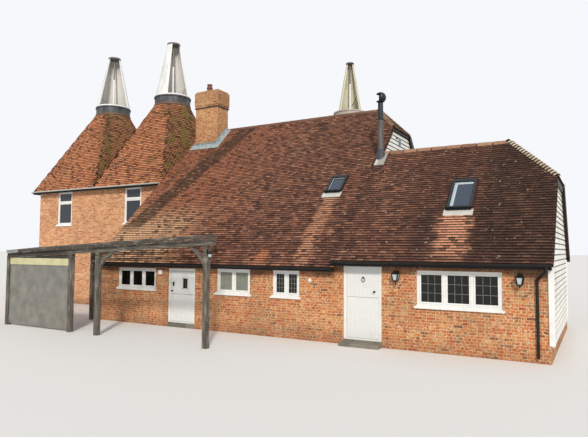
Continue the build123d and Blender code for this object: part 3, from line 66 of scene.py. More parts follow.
class Link:
    """A socket in a node tree; sums on it add Math nodes and node() adds any other node."""

    def __init__(self, tree, socket):
        self.tree = tree
        self.socket = socket

    def node(self, kind, settings=None, sockets=None, output=0):
        """Add one node: first its settings or its ramp's stops, then the values or links of its sockets."""
        made = self.tree.nodes.new(kind)
        for name, value in (settings or {}).items():
            if name == "stops":
                ramp = made.color_ramp
                ramp.elements.remove(ramp.elements[-1])
                for count, (place, colour) in enumerate(value):
                    stop = ramp.elements.new(place) if count else ramp.elements[0]
                    stop.position = place
                    stop.color = colour
            else:
                setattr(made, name, value)
        for name, value in (sockets or {}).items():
            if isinstance(value, Link):
                self.tree.links.new(value.socket, made.inputs[name])
            else:
                made.inputs[name].default_value = value
        return Link(self.tree, made.outputs[output])

    def other(self, output):
        """Another output of the same node."""
        return Link(self.tree, self.socket.node.outputs[output])

    def math(self, operation, *terms):
        """A Math node on this value and any other terms."""
        return self.node("ShaderNodeMath", {"operation": operation}, dict(enumerate((self, *terms))))

    def swapped(self, operation, term):
        """A Math node with the other term first."""
        return self.node("ShaderNodeMath", {"operation": operation}, {0: term, 1: self})

    __add__ = partialmethod(math, "ADD")
    __radd__ = partialmethod(swapped, "ADD")
    __sub__ = partialmethod(math, "SUBTRACT")
    __rsub__ = partialmethod(swapped, "SUBTRACT")
    __mul__ = partialmethod(math, "MULTIPLY")
    __rmul__ = partialmethod(swapped, "MULTIPLY")
    __truediv__ = partialmethod(math, "DIVIDE")
    __gt__ = partialmethod(math, "GREATER_THAN")
    floor = partialmethod(math, "FLOOR")
    size = partialmethod(math, "ABSOLUTE")
    least = partialmethod(math, "MINIMUM")
    most = partialmethod(math, "MAXIMUM")

    def above(self, limit):
        """How far this stands above a limit, or 0."""
        return (self - limit).most(0)

    def ease(self, low, high):
        """0 below low, 1 above high and a soft slope between them."""
        return self.node("ShaderNodeMapRange", {"interpolation_type": "SMOOTHSTEP"},
                         {"Value": self, "From Min": low, "From Max": high})

    def mix(self, first, second):
        """A colour between two, with this value as its share of the second."""
        colours = {0: self, 6: paint(first), 7: paint(second)}
        return self.node("ShaderNodeMix", {"data_type": "RGBA"}, colours, 2)

    def ramp(self, *stops):
        """A colour for this value, out of pairs of a value and its colour."""
        stops = [(place, paint(colour)) for place, colour in stops]
        return self.node("ShaderNodeValToRGB", {"stops": stops}, {0: self})

    def split(self):
        """The three parts of a vector."""
        x = self.node("ShaderNodeSeparateXYZ", None, {0: self})
        return x, x.other("Y"), x.other("Z")


def paint(colour):
    """The light that a colour gives back, from its 0 to 255 on a screen. A link stays as it is."""
    if isinstance(colour, Link):
        return colour
    parts = [part / 255 for part in colour]
    return (*(part / 12.92 if part < 0.04 else ((part + 0.055) / 1.055) ** 2.4 for part in parts), 1)


class Finish:
    """One material: a shader, the place on the piece, and the few patterns that all finishes use."""

    def __init__(self, name, roughness, slot=None, **plain):
        self.slot = slot
        self.material = bpy.data.materials.new(name)
        self.material.use_nodes = True
        tree = self.material.node_tree
        self.shader = tree.nodes["Principled BSDF"]
        self.shader.inputs["Roughness"].default_value = roughness
        for socket, value in plain.items():
            self.shader.inputs[socket.replace("_", " ")].default_value = value
        self.place = Link(tree, None).node("ShaderNodeTexCoord", output="Object")

    def noise(self, scale, detail=4, stretch=(1, 1, 1)):
        """Soft noise, stretched along an axis where that axis has a small number."""
        place = self.place.node("ShaderNodeMapping", None, {"Vector": self.place, "Scale": stretch})
        return place.node("ShaderNodeTexNoise", None, {"Vector": place, "Scale": scale, "Detail": detail})

    def own(self, name):
        """A number that each piece of a repeated pattern carries."""
        return self.place.node("ShaderNodeAttribute", {"attribute_name": name}, None, "Fac")

    def axes(self):
        return self.place.split()

    def facing(self):
        """How far the surface faces along X, from -1 to 1."""
        return self.place.other("Normal").split()[0]

    def feed(self, socket, link):
        self.place.tree.links.new(link.socket, self.shader.inputs[socket])

    def colour(self, link):
        self.feed("Base Color", link)

    def mottle(self, first, second, scale, detail=4, stretch=(1, 1, 1)):
        """Let one colour run softly into another."""
        self.colour(self.noise(scale, detail, stretch).mix(first, second))
        return self

    def bump(self, height, distance, strength=1.0):
        """Raise the surface by a height from 0 to 1, times a distance in metres."""
        sockets = {"Height": height, "Distance": distance, "Strength": strength}
        self.feed("Normal", height.node("ShaderNodeBump", None, sockets))

    def grain(self, distance, scale, detail=4):
        """Roughen the surface by a distance in metres."""
        self.bump(self.noise(scale, detail), distance)
        return self

    def on(self, *names):
        """Give the finish to these CAD pieces."""
        for name in names:
            mesh = cad[name].data
            mesh.materials.clear()
            mesh.materials.append(self.material)


def brickwork(name, clays, mortar, soot, lime):
    """Bricks of the given clays, from commonest to rarest, with weathered faces, struck joints and painted
    shade under the eaves.
    """
    finish = Finish(name, 0.9)
    x, y, z = finish.axes()
    side = finish.facing().size() > 0.7
    course = (z / COURSE).floor()
    along = x + (y - x) * side + 40
    odd = course - (course / 2).floor() * 2
    pair = (along + odd * BRICK * 0.75) / (BRICK * 1.5)
    number = pair.floor()
    spot = pair - number
    short = spot > 2 / 3
    run = (spot - short * (2 / 3)) * BRICK * 1.5
    length = BRICK - short * (BRICK / 2)
    rise = z - course * COURSE
    edge = run.least(length - run).least(rise.least(COURSE - rise))
    wobble = finish.noise(30, 3) * 0.004 - 0.002
    face = (edge + wobble).ease(JOINT * 0.35, JOINT * 0.8)
    where = x.node("ShaderNodeCombineXYZ", None, {0: number * 2 + short, 1: course, 2: side})
    chance = where.node("ShaderNodeTexWhiteNoise", {"noise_dimensions": "3D"}, {"Vector": where})
    clay = chance.ramp(*[(count / len(clays), clay) for count, clay in enumerate(clays)])
    clay = (finish.noise(9, 5).above(0.38) * 1.3).mix(clay, (112, 58, 42))
    smear = finish.noise(22, 3).above(0.53) * lime * 10 + finish.noise(3, 5).above(0.52) * lime * 2
    wall = face.mix(mortar, smear.least(0.85).mix(clay, mortar))
    weather = finish.noise(0.9, 6).above(0.42) * soot * 2.2
    low = 1 - z.ease(0.0, 0.55)
    head = z.ease(STACK_HEAD - 0.1, STACK_HEAD + 0.1)
    wall = (weather + low * 0.3 + head * 0.14).mix(wall, (84, 66, 52))
    # Painted shade: the front walls darken from z 1.80 to 2.04, just under the gutters and eaves.
    eaves_shade = (z + weather - x.ease(4.8, 4.81) * 0.16).ease(1.80, 2.04) * (1 - z.ease(2.4, 2.7))
    wall = (eaves_shade * (1 - y.ease(FRONT - 0.01, FRONT + 0.05)) * 0.72).mix(wall, (66, 44, 34))
    finish.colour(wall)
    finish.bump(face * 0.8 + finish.noise(140, 3) * 0.2 + chance * 0.12, 0.006, 0.9)
    return finish


warm_brick = brickwork("kiln brick", [
    (222, 158, 110), (212, 142, 96), (230, 172, 126), (202, 128, 86),
    (224, 164, 116), (234, 184, 138), (188, 116, 80)], (220, 188, 148), 0.3, 0.25)
pale_brick = brickwork("front brick", [
    (206, 112, 56), (212, 132, 72), (180, 84, 42), (208, 122, 66), (126, 74, 52),
    (220, 158, 98), (198, 102, 50), (186, 92, 46), (200, 124, 70)], (222, 192, 150), 0.45, 0.7)
stack_brick = brickwork("chimney brick", [
    (194, 122, 70), (164, 96, 54), (210, 152, 98), (142, 82, 50), (196, 130, 78)],
    (218, 184, 140), 0.5, 0.75)
warm_brick.on("kiln_front_wall", "kiln_side_walls", "kiln_rear_wall", "kiln_3_front_wall",
              "kiln_3_side_walls", "kiln_3_rear_wall", "main_gable_left", "main_rear_wall", "wing_rear_wall")
pale_brick.on("front_wall_left", "front_wall_middle", "front_wall_pier", "front_wall_right", "door_heads",
              "main_gable_right", "wing_gable")
stack_brick.on("chimney_stack")

# Floors and door steps: worn stone flags on the ground, with their joints, and wide boards
# nailed across the kilns at the foot of their windows.
FLAG_WIDTH, FLAG_DEPTH, PLANK = 0.6, 0.75, 0.18
flags = Finish("stone flags", 0.8)
x, y, _ = flags.axes()
column = (x / FLAG_WIDTH).floor()
staggered = y + column * 0.37
row = (staggered / FLAG_DEPTH).floor()
across = x - column * FLAG_WIDTH
gap = across.least(FLAG_WIDTH - across).least(staggered - row * FLAG_DEPTH)
flag = x.node("ShaderNodeCombineXYZ", None, {0: column, 1: row})
tone = flag.node("ShaderNodeTexWhiteNoise", None, {"Vector": flag}) * 0.5 + flags.noise(6, 6) * 0.5
slab = tone.ramp((0.1, (92, 88, 80)), (0.9, (142, 136, 122)))
flags.colour(gap.ease(0.004, 0.010).mix((92, 86, 76), slab))
flags.grain(0.004, 40, 5)
flags.on("ground_floors", "door_sills")

planks = Finish("floor boards", 0.7)
x, _, _ = planks.axes()
strip = (x / PLANK).floor()
grain = planks.noise(5, 6, (5, 0.35, 5)) * 0.7 + (strip * 0.37 - (strip * 0.37).floor()) * 0.3
groove = (x - strip * PLANK).ease(0.002, 0.006)
planks.colour(groove.mix((40, 28, 20), grain.ramp((0.2, (110, 78, 52)), (0.8, (168, 128, 88)))))
planks.bump(groove * 0.7 + grain * 0.3, 0.004)
planks.on("kiln_upper_floors")

# Window frames, casements and sills: softwood under white oil paint, mortised together. The frames
# are CAD solids set 35 mm behind the brick; the casements that hold the panes are added here.
white = Finish("white joinery", 0.42, "white_joinery")
brush = white.noise(14, 5, (1, 1, 0.12))
coat = (white.noise(3.5, 6).above(0.5) * 0.9).mix((238, 239, 237), (180, 177, 166))
white.colour((brush * 0.12).mix(coat, (214, 212, 204)))
white.feed("Roughness", brush * 0.2 + 0.32)
white.bump(brush, 0.0012)
white.on("front_window_frames", "kiln_window_frames", "rear_window_frames", "door_frames")


def settle(piece, body="root"):
    """Make a piece a plain mesh on its body, with its modifiers used up."""
    bpy.context.view_layer.update()
    mesh = bpy.data.meshes.new_from_object(piece.evaluated_get(bpy.context.evaluated_depsgraph_get()))
    piece.modifiers.clear()
    piece.data = mesh
    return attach(piece, body)


def added(name, data):
    """A new object in the scene, made of this data."""
    made = bpy.data.objects.new(name, data)
    bpy.context.scene.collection.objects.link(made)
    return made


def piece_from(shape, name, finish):
    """A new object with this shape and finish."""
    mesh = bpy.data.meshes.new(name)
    bmesh.ops.recalc_face_normals(shape, faces=shape.faces)
    shape.to_mesh(mesh)
    shape.free()
    mesh.materials.append(finish.material)
    return added(name, mesh)


def skin(shape, loops, closed=False):
    """Faces from one loop of points to the next, and on both ends unless the last loop meets the first."""
    rings = [[shape.verts.new(spot) for spot in loop] for loop in loops]
    for lower, upper in zip(rings, rings[1:] + rings[:1] * closed):
        for step, corner in enumerate(lower):
            after = (step + 1) % len(lower)
            shape.faces.new((corner, lower[after], upper[after], upper[step]))
    if not closed:
        shape.faces.new(rings[0])
        shape.faces.new(rings[-1])


def battens(name, spans, finish, body="root", bevel=0.003):
    """Square-cut timbers or bars between pairs of corners, with eased edges."""
    shape = bmesh.new()
    for (x0, y0, z0), (x1, y1, z1) in spans:
        skin(shape, [[(x0, y0, z), (x1, y0, z), (x1, y1, z), (x0, y1, z)] for z in (z0, z1)])
    piece = piece_from(shape, name, finish)
    if bevel:
        edges = piece.modifiers.new("eased edges", "BEVEL")
        edges.width = bevel
        edges.segments = 1
    return settle(piece, body)


def between(low, high, count):
    """Where a length is cut into equal parts."""
    return [low + (high - low) * number / count for number in range(1, count)]


def casement(x0, x1, z0, z1, columns=1, rows=1, face=FRONT, out=-1):
    """Rails and glazing bars in front of one pane."""
    rail, bar = 0.042, 0.022
    x0, x1, z0, z1 = x0 + 0.003, x1 - 0.003, z0 + 0.003, z1 - 0.003
    low, high = sorted((face - out * 0.071, face - out * 0.046))
    spans = [((x0, low, z0), (x0 + rail, high, z1)), ((x1 - rail, low, z0), (x1, high, z1)),
             ((x0 + rail, low, z0), (x1 - rail, high, z0 + rail)),
             ((x0 + rail, low, z1 - rail), (x1 - rail, high, z1))]
    for middle in between(x0, x1, columns):
        spans.append(((middle - bar / 2, low + 0.002, z0), (middle + bar / 2, high - 0.006, z1)))
    for middle in between(z0, z1, rows):
        spans.append(((x0, low + 0.002, middle - bar / 2), (x1, high - 0.006, middle + bar / 2)))
    return spans


def lights_of(x, width, foot, head, count):
    """The openings of a window frame, side by side between its mullions."""
    stile = 0.062
    pitch = (width - stile) / count
    left = x - width / 2 + stile
    return [(left + pitch * light, left + pitch * (light + 1) - stile, foot + stile, head - stile)
            for light in range(count)]


# Front windows: middle, width, foot, head and number of lights.
WINDOWS = ((-2.88, 1.82, 1.22, 1.93, 3), (1.3, 1.28, 1.22, 1.985, 2), (3.22, 0.92, 1.22, 1.985, 2),
           (8.21, 2.1, 1.17, 2.08, 3))
front_rails = []
for window in WINDOWS:
    for light in lights_of(*window):
        front_rails += casement(*light)
battens("front_casements", front_rails, white)
kiln_rails = []
for x, face, out in ((-11.31, -2.45, -1), (-6.715, -2.45, -1), (-11.31, 2.85, 1), (-6.715, 2.85, 1),
                     (-0.31, 9.6, 1)):
    for foot, head in ((3.802, 4.798), (4.86, 5.308)):
        kiln_rails += casement(x - 0.463, x + 0.463, foot, head, face=face, out=out)
battens("kiln_casements", kiln_rails, white)
rear_rails = []
for x, (place, width, foot, head, count), face in ((-3.35, WINDOWS[2], 4.3), (3.35, WINDOWS[2], 4.3),
                                                   (8.21, WINDOWS[3], 0.954)):
    for light in lights_of(x, width, foot, head, count):
        rear_rails += casement(*light, 2, 2, face, 1)
battens("rear_casements", rear_rails, white)

# Panes: clear sheet glass with a faint ripple, bedded in putty, and dull in the second window. Three
# front windows have narrow lead bars, which make three columns of panes in each light.
pane = Finish("window glass", 0.02, "glass", Transmission_Weight=0.45, IOR=1.46)
x, y, z = pane.axes()
# Painted light: panes below z 2.2 are near-black, the painted shade of the unlit rooms behind them; higher
# panes are grey-blue and the roof lights blue, a painted reflection of the sky.
sky_reflection = z.ease(2.2, 2.6) * (1 - y.ease(-2.9, -2.7))
obscured = x.ease(0.45, 0.5) * (1 - x.ease(2.1, 2.15)) * (1 - y.ease(-5.4, -5.2)) * (1 - z.ease(2.2, 2.3))
tone = sky_reflection.mix(z.ease(2.2, 2.6).mix((17, 20, 19), (60, 66, 76)), (70, 86, 108))
pane.colour(obscured.mix(tone, pane.noise(6, 4).mix((138, 146, 130), (184, 188, 168))))
pane.bump(pane.noise(2.6, 2), 0.0015, 0.35)
pane.on("window_glass")

lead = Finish("dressed lead", 0.55, "lead", Metallic=0.15)
bloom = lead.noise(7, 6)
x, _, _ = lead.axes()
sheet = bloom.ramp((0.25, (124, 138, 142)), (0.5, (158, 172, 174)), (0.8, (192, 200, 198)))
sooted = x.ease(4.95, 5.02) * (1 - x.ease(5.30, 5.34))
bright = (x.ease(2.0, 2.2) * 0.7).mix(sheet, (214, 210, 198))
lead.colour((sooted * 0.4).mix(bright, (34, 31, 30)))
lead.feed("Roughness", bloom * 0.3 + 0.4)
lead.bump(lead.noise(11, 4), 0.006, 0.7)
lead.on("lead_flashings")
dull_lead = Finish("weathered lead", 0.6, Metallic=0.2)
bloom = dull_lead.noise(5, 6, (1, 1, 0.4))
_, _, z = dull_lead.axes()
washed = bloom.ramp((0.25, (46, 48, 51)), (0.5, (70, 73, 77)), (0.8, (112, 116, 120)))
foot = (1 - (z + bloom * 0.16).ease(9.70, 9.84)) * 0.8
dull_lead.colour(foot.mix(washed, (112, 84, 66)))
dull_lead.bump(bloom, 0.004, 0.6)
dull_lead.on("kiln_1_kerb", "kiln_2_kerb")
pale_lead = Finish("limewashed lead", 0.7)
pale_lead.mottle((150, 140, 130), (214, 206, 198), 6, 5, (1, 1, 0.4)).grain(0.003, 9)
pale_lead.on("kiln_3_kerb")

cames = []
for window, columns, rows in ((WINDOWS[1], 3, 4), (WINDOWS[2], 3, 4), (WINDOWS[3], 3, 3)):
    for left, right, low, high in lights_of(*window):
        left, right, low, high = left + 0.045, right - 0.045, low + 0.045, high - 0.045
        for middle in between(left, right, columns):
            cames.append(((middle - 0.004, FRONT + 0.064, low), (middle + 0.004, FRONT + 0.0715, high)))
        for middle in between(low, high, rows):
            cames.append(((left, FRONT + 0.064, middle - 0.004), (right, FRONT + 0.0715, middle + 0.004)))
bright_lead = Finish("scraped lead", 0.5, "lead").mottle((104, 110, 108), (156, 162, 158), 20, 3)
battens("lead_cames", cames, bright_lead, bevel=0.0)

# Stable doors: ledged leaves of upright white boards on strap hinges, each in two halves. The
# leaves are CAD solids that swing inwards; boards, pane, knobs, handle and knocker ride on them.
FACE = FRONT + 0.053
door_white = Finish("door paint", 0.36, "white_doors")
streak = door_white.noise(10, 5, (1, 1, 0.1))
door_white.colour((door_white.noise(4, 6).above(0.55) * 1.4).mix((224, 226, 224), (188, 188, 182)))
door_white.feed("Roughness", streak * 0.25 + 0.26)
door_white.bump(streak, 0.0008)
door_white.on("door_1_lower", "door_1_upper", "door_2_lower", "door_2_upper")


def border(left, right, low, high, rail):
    """Four flat bars round an opening, each by two of its corners."""
    return [((left, low), (left + rail, high)), ((right - rail, low), (right, high)),
            ((left, low), (right, low + rail)), ((left, high - rail), (right, high))]


def door_boards(name, x, width, foot, head, body, light=None):
    """Upright boards on the face of a leaf, cut round its small light."""
    count = 8
    board = width / count
    back = FRONT + 0.0655
    spans = []
    for number in range(count):
        x0 = x - width / 2 + number * board + 0.0007
        x1 = x0 + board - 0.0014
        stretches = [(x0, x1, foot, head)]
        if light and x0 < light[1] and x1 > light[0]:
            stretches = [(x0, x1, foot, light[2]), (x0, x1, light[3], head)]
            if x0 < light[0]:
                stretches.append((x0, light[0], light[2], light[3]))
            if x1 > light[1]:
                stretches.append((light[1], x1, light[2], light[3]))
        spans += [((a, FACE, c), (b, back, d)) for a, b, c, d in stretches if b - a > 0.01]
    if light:
        spans += [((x0, FACE - 0.006, z0), (x1, back, z1)) for (x0, z0), (x1, z1) in border(*light, 0.025)]
    battens(name, spans, door_white, body, 0.0015)


DOOR_LIGHT = (-0.815, -0.565, 1.27, 1.65)
door_boards("door_1_lower_boards", -0.82, 0.982, 0.200, 1.093, "door_1_lower_leaf")
door_boards("door_1_upper_boards", -0.82, 0.982, 1.107, 1.855, "door_1_upper_leaf", DOOR_LIGHT)
door_boards("door_2_lower_boards", 5.645, 0.942, 0.200, 1.303, "door_2_lower_leaf")
door_boards("door_2_upper_boards", 5.645, 0.942, 1.317, 2.145, "door_2_upper_leaf")
left, right, low, high = DOOR_LIGHT
battens("door_1_pane", [((left + 0.003, FRONT + 0.078, low + 0.003),
                         (right - 0.003, FRONT + 0.084, high - 0.003))], pane, "door_1_upper_leaf", 0)

iron = Finish("black iron", 0.5, "lantern_iron", Metallic=0.6)
iron.colour(iron.noise(24, 5).ramp((0.3, (26, 26, 27)), (0.8, (58, 55, 52))))
iron.feed("Roughness", iron.noise(40, 4) * 0.4 + 0.3)
iron.grain(0.001, 60)


def bearings(count, shift=0.0):
    """Level directions, evenly spaced round a full turn."""
    angles = [(number + shift) * math.tau / count for number in range(count)]
    return [Vector((math.cos(angle), math.sin(angle), 0)) for angle in angles]


def turned(name, outline, centre, axis, finish, body="root", steps=24):
    """A turned piece: an outline of radius and height about an axis through a centre."""
    shape = bmesh.new()
    turn = Vector((0, 0, 1)).rotation_difference(Vector(axis))
    skin(shape, [[Vector(centre) + turn @ (way * max(radius, 0.0002) + Vector((0, 0, height)))
                  for way in bearings(steps)] for radius, height in outline])
    piece = settle(piece_from(shape, name, finish), body)
    for face in piece.data.polygons:
        face.use_smooth = len(face.vertices) == 4


turned("door_1_knob", [
    (0.024, 0), (0.024, 0.006), (0.009, 0.010), (0.009, 0.030), (0.022, 0.040), (0.026, 0.052),
    (0.018, 0.064), (0.0, 0.068)], (-1.24, FACE + 0.001, 1.20), (0, -1, 0), iron, "door_1_upper_leaf")
battens("door_1_handle", [
    ((-1.205, FACE - 0.010, 1.36), (-1.165, FACE + 0.001, 1.50)),
    ((-1.195, FACE - 0.045, 1.37), (-1.175, FACE - 0.004, 1.385)),
    ((-1.195, FACE - 0.045, 1.475), (-1.175, FACE - 0.004, 1.49)),
    ((-1.197, FACE - 0.055, 1.365), (-1.173, FACE - 0.040, 1.495))], iron, "door_1_upper_leaf")
turned("door_2_knob", [
    (0.026, 0), (0.026, 0.006), (0.010, 0.010), (0.010, 0.034), (0.024, 0.044), (0.028, 0.056),
    (0.019, 0.070), (0.0, 0.074)], (5.99, FACE + 0.001, 1.47), (0, -1, 0), iron, "door_2_upper_leaf")
knocker = bmesh.new()
loops = []
for way in bearings(28):
    middle = Vector((5.66 + 0.045 * way.y, FACE - 0.018, 1.785 + 0.055 * way.x))
    outward = Vector((way.y, 0, way.x))
    loops.append([middle + 0.008 * (outward * part.x + Vector((0, part.y, 0))) for part in bearings(8)])
skin(knocker, loops, closed=True)
settle(piece_from(knocker, "door_2_knocker_ring", iron), "door_2_upper_leaf")
turned("door_2_knocker_boss", [(0.030, 0), (0.030, 0.006), (0.018, 0.016), (0.014, 0.030), (0.0, 0.034)],
       (5.66, FACE + 0.001, 1.845), (0, -1, 0), iron, "door_2_upper_leaf")

# Roof tiles: hand-made plain clay tiles, 165 mm wide, hung on battens at a 100 mm gauge with their
# joints broken. The roof slopes are CAD solids; each tile is laid on them here, a little out of true.
TILE, GAUGE = 0.165, 0.100


def laying_tree():
    """A tree that sets one curved tile on each place, facing as the place says."""
    tree = bpy.data.node_groups.new("laid tiles", "GeometryNodeTree")
    for kind, names in (("Geometry", ("Places",)), ("Int", ("Across", "Seed")), ("Material", ("Finish",)),
                        ("Float", ("Width", "Length", "Thickness", "Camber", "Tail", "Wander"))):
        for name in names:
            tree.interface.new_socket(name, in_out="INPUT", socket_type="NodeSocket" + kind)
    tree.interface.new_socket("Tiles", in_out="OUTPUT", socket_type="NodeSocketGeometry")
    start = Link(tree, None).node("NodeGroupInput", output="Places")
    port = start.other
    sheet = start.node("GeometryNodeMeshGrid", None, {"Size X": port("Width"), "Size Y": port("Length"),
                                                      "Vertices X": port("Across"), "Vertices Y": 2})
    x, y, _ = start.node("GeometryNodeInputPosition").split()
    across = x / (port("Width") / 2)
    up = y / port("Length") + 0.5
    rise = port("Tail") * (1 - up) - port("Camber") * across * across
    shift = start.node("ShaderNodeCombineXYZ", None, {1: port("Length") / 2, 2: rise})
    sheet = sheet.node("GeometryNodeStoreNamedAttribute", {"data_type": "FLOAT", "domain": "POINT"},
                       {"Geometry": sheet, "Name": "up", "Value": up})
    sheet = sheet.node("GeometryNodeSetPosition", None, {"Geometry": sheet, "Offset": shift})
    depth = start.node("ShaderNodeCombineXYZ", None, {2: port("Thickness")})
    tile = sheet.node("GeometryNodeExtrudeMesh", {"mode": "FACES"},
                      {"Mesh": sheet, "Offset": depth, "Offset Scale": 1.0, "Individual": False})
    facing, upward, girth = (
        start.node("GeometryNodeInputNamedAttribute", {"data_type": kind}, {"Name": name})
        for name, kind in (("facing", "FLOAT_VECTOR"), ("upward", "FLOAT_VECTOR"), ("girth", "FLOAT")))
    turn = start.node("FunctionNodeAlignRotationToVector", {"axis": "Z"}, {"Vector": facing})
    turn = start.node("FunctionNodeAlignRotationToVector", {"axis": "Y", "pivot_axis": "Z"},
                      {"Rotation": turn, "Vector": upward})
    chance = start.node("FunctionNodeRandomValue", {"data_type": "FLOAT_VECTOR"},
                        {0: (-1, -1, -1), 1: (1, 1, 1), "Seed": port("Seed")})
    tilt = start.node("ShaderNodeVectorMath", {"operation": "SCALE"}, {0: chance, "Scale": port("Wander")})
    tilt = start.node("FunctionNodeEulerToRotation", None, {0: tilt})
    turn = start.node("FunctionNodeRotateRotation", {"rotation_space": "LOCAL"},
                      {"Rotation": turn, "Rotate By": tilt})
    scale = start.node("ShaderNodeCombineXYZ", None, {0: girth, 1: 1.0, 2: 1.0})
    laid = start.node("GeometryNodeInstanceOnPoints", None,
                      {"Points": start, "Instance": tile, "Rotation": turn, "Scale": scale})
    shade = start.node("FunctionNodeRandomValue", {"data_type": "FLOAT"},
                       {2: 0.0, 3: 1.0, "Seed": port("Seed") + 7}, 1)
    laid = laid.node("GeometryNodeStoreNamedAttribute", {"data_type": "FLOAT", "domain": "INSTANCE"},
                     {"Geometry": laid, "Name": "shade", "Value": shade})
    laid = laid.node("GeometryNodeRealizeInstances", None, {"Geometry": laid})
    laid = laid.node("GeometryNodeSetMaterial", None, {"Geometry": laid, "Material": port("Finish")})
    end = tree.nodes.new("NodeGroupOutput")
    tree.links.new(laid.socket, end.inputs[0])
    return tree


LAYING = laying_tree()


def lay(name, places, finish, **sizes):
    """Lay tiles on places, each a spot, the way it faces, the way up and its share of the width."""
    mesh = bpy.data.meshes.new(name)
    mesh.from_pydata([place[0] for place in places], [], [])
    for column, label in ((1, "facing"), (2, "upward")):
        values = [part for place in places for part in place[column]]
        mesh.attributes.new(label, "FLOAT_VECTOR", "POINT").data.foreach_set("vector", values)
    mesh.attributes.new("girth", "FLOAT", "POINT").data.foreach_set("value", [place[3] for place in places])
    piece = added(name, mesh)
    modifier = piece.modifiers.new("laid tiles", "NODES")
    modifier.node_group = LAYING
    sizes = {"Width": TILE, "Length": 0.16, "Thickness": 0.012, "Camber": 0.004, "Tail": 0.016, "Across": 3,
             "Wander": 0.012, "Seed": 1, "Finish": finish.material, **sizes}
    for port in LAYING.interface.items_tree:
        if port.in_out == "INPUT" and port.name in sizes:
            modifier[port.identifier] = sizes[port.name]
    return settle(piece)


def courses(origin, along, upward, length, limits, holes=()):
    """Places for courses on a flat slope. limits(d) gives both ends of a course at a distance up it."""
    along, upward = Vector(along), Vector(upward).normalized()
    facing = along.cross(upward)
    places = []
    for course in range(int(length / GAUGE)):
        up = course * GAUGE
        low, high = limits(up)
        start = origin + upward * up
        number = math.floor(low / TILE) - 1
        while number * TILE < high:
            left = number * TILE + (course % 2) * TILE / 2
            left, right = max(left, low), min(left + TILE, high)
            number += 1
            for x0, x1, d0, d1 in holes:
                if d0 - GAUGE * 0.6 < up < d1 - GAUGE * 0.2 and left < x1 and right > x0:
                    if left < x0 - TILE * 0.15:
                        right = x0
                    elif right > x1 + TILE * 0.15:
                        left = x1
                    else:
                        right = left
            if right - left > TILE * 0.12:
                spot = start + along * (left + right) / 2
                places.append((spot, facing, upward, (right - left) / TILE - 0.02))
    return places


class Clay(Finish):
    """Fired clay: every tile its own tone, painted shade under the tails above it and streaks down the slope.
    """

    def __init__(self, name, slot, *tones):
        super().__init__(name, 0.9, slot, Specular_IOR_Level=0.15)
        last = len(tones) - 1
        self.x, self.y, self.z = self.axes()
        self.shade = self.own("shade")
        self.body = self.shade.ramp(*[(count / last, tone) for count, tone in enumerate(tones)])
        self.cloud = self.noise(1.3, 6)
        self.fine = self.noise(6.0, 5)
        self.edge = self.noise(2.2, 4) * 0.5 - 0.25

    def tint(self, share, colour):
        self.body = share.mix(self.body, colour)

    def within(self, link, low, high, soft=0.12):
        """1 where a value lies between two limits, with soft and ragged ends."""
        link = link + self.edge
        return (link - low).ease(-soft, soft) * (1 - (link - high).ease(-soft, soft))

    def streak(self, x0, x1, foot_y, head_y, share, colour, lean=0.0):
        """A band of another colour that runs down a slope between two lines, leaning to one side."""
        band = self.within(self.x - (self.y - head_y) * lean, x0, x1)
        length = (self.y - foot_y).ease(-0.1, 0.4) * (1 - (self.y - head_y).ease(-0.05, 0.05))
        self.tint(band * length * share, colour)

    def close(self, *names, pale=1.0):
        """Add odd tiles, the lap lines of painted shade, painted highlights on the tails, the lichen and the
        grain, and give the finish to CAD pieces.
        """
        up = self.own("up")
        other = self.shade * 37
        other = other - other.floor()
        for share, colour in (
                (other.above(0.66) * 2.5, (56, 39, 36)),
                ((0.18 - other).most(0) * 3.4 * pale, (196, 142, 114)),
                # painted shade: each tile darkens just below the tail of the tile above it
                (up.ease(0.27, 0.42) * 0.92, (28, 20, 18)),
                # painted highlight along the lower edge of each tail
                ((1 - up.ease(0.0, 0.14)) * self.fine.above(0.25) * 0.9, (206, 160, 136)),
                (self.noise(9, 3).ease(0.67, 0.71) * 0.5, (190, 176, 154)),
                (self.noise(30, 4).above(0.5) * 1.2, (50, 38, 34))):
            self.tint(share, colour)
        self.colour(self.body)
        self.bump(self.noise(90, 4) * 0.6 + self.fine * 0.4, 0.003, 0.8)
        self.on(*names)


range_clay = Clay("range roof tiles", "roof_tile", (148, 98, 77), (118, 76, 64), (168, 113, 86),
                  (102, 68, 59), (140, 94, 75), (182, 126, 96), (124, 79, 66))
x, y, edge, cloud = range_clay.x, range_clay.y, range_clay.edge, range_clay.cloud
stain = range_clay.noise(1.7, 5, (1.0, 0.14, 0.14))
glow = range_clay.noise(2.3, 5, (1.0, 0.2, 0.2))
faded = 1 - x.ease(5.0, 7.6) * 0.72
for share, colour in (
        ((1 - x.ease(-3.4, 1.6)) * (0.4 + cloud * 0.7), (184, 114, 80)),
        ((1 - x.ease(-2.6, -0.4)) * (1 - y.ease(-4.9, -3.6)) * 0.9, (236, 190, 148)),
        ((x + edge * 2).ease(-0.8, 3.2) * 0.34, (78, 51, 46)),
        ((x + edge * 2).ease(5.2, 7.6) * 0.52, (44, 31, 29)),
        ((x + edge).ease(8.3, 9.0) * 0.72, (30, 22, 21)),
        (((stain - 0.5) * 5).ease(0.0, 1.0) * 0.5, (78, 56, 50)),
        (((glow - 0.55) * 6).ease(0.0, 1.0) * 0.35 * faded, (178, 112, 80)),
        (((cloud - 0.56) * 6).ease(0.0, 1.0) * 0.3, (136, 104, 84))):
    range_clay.tint(share, colour)
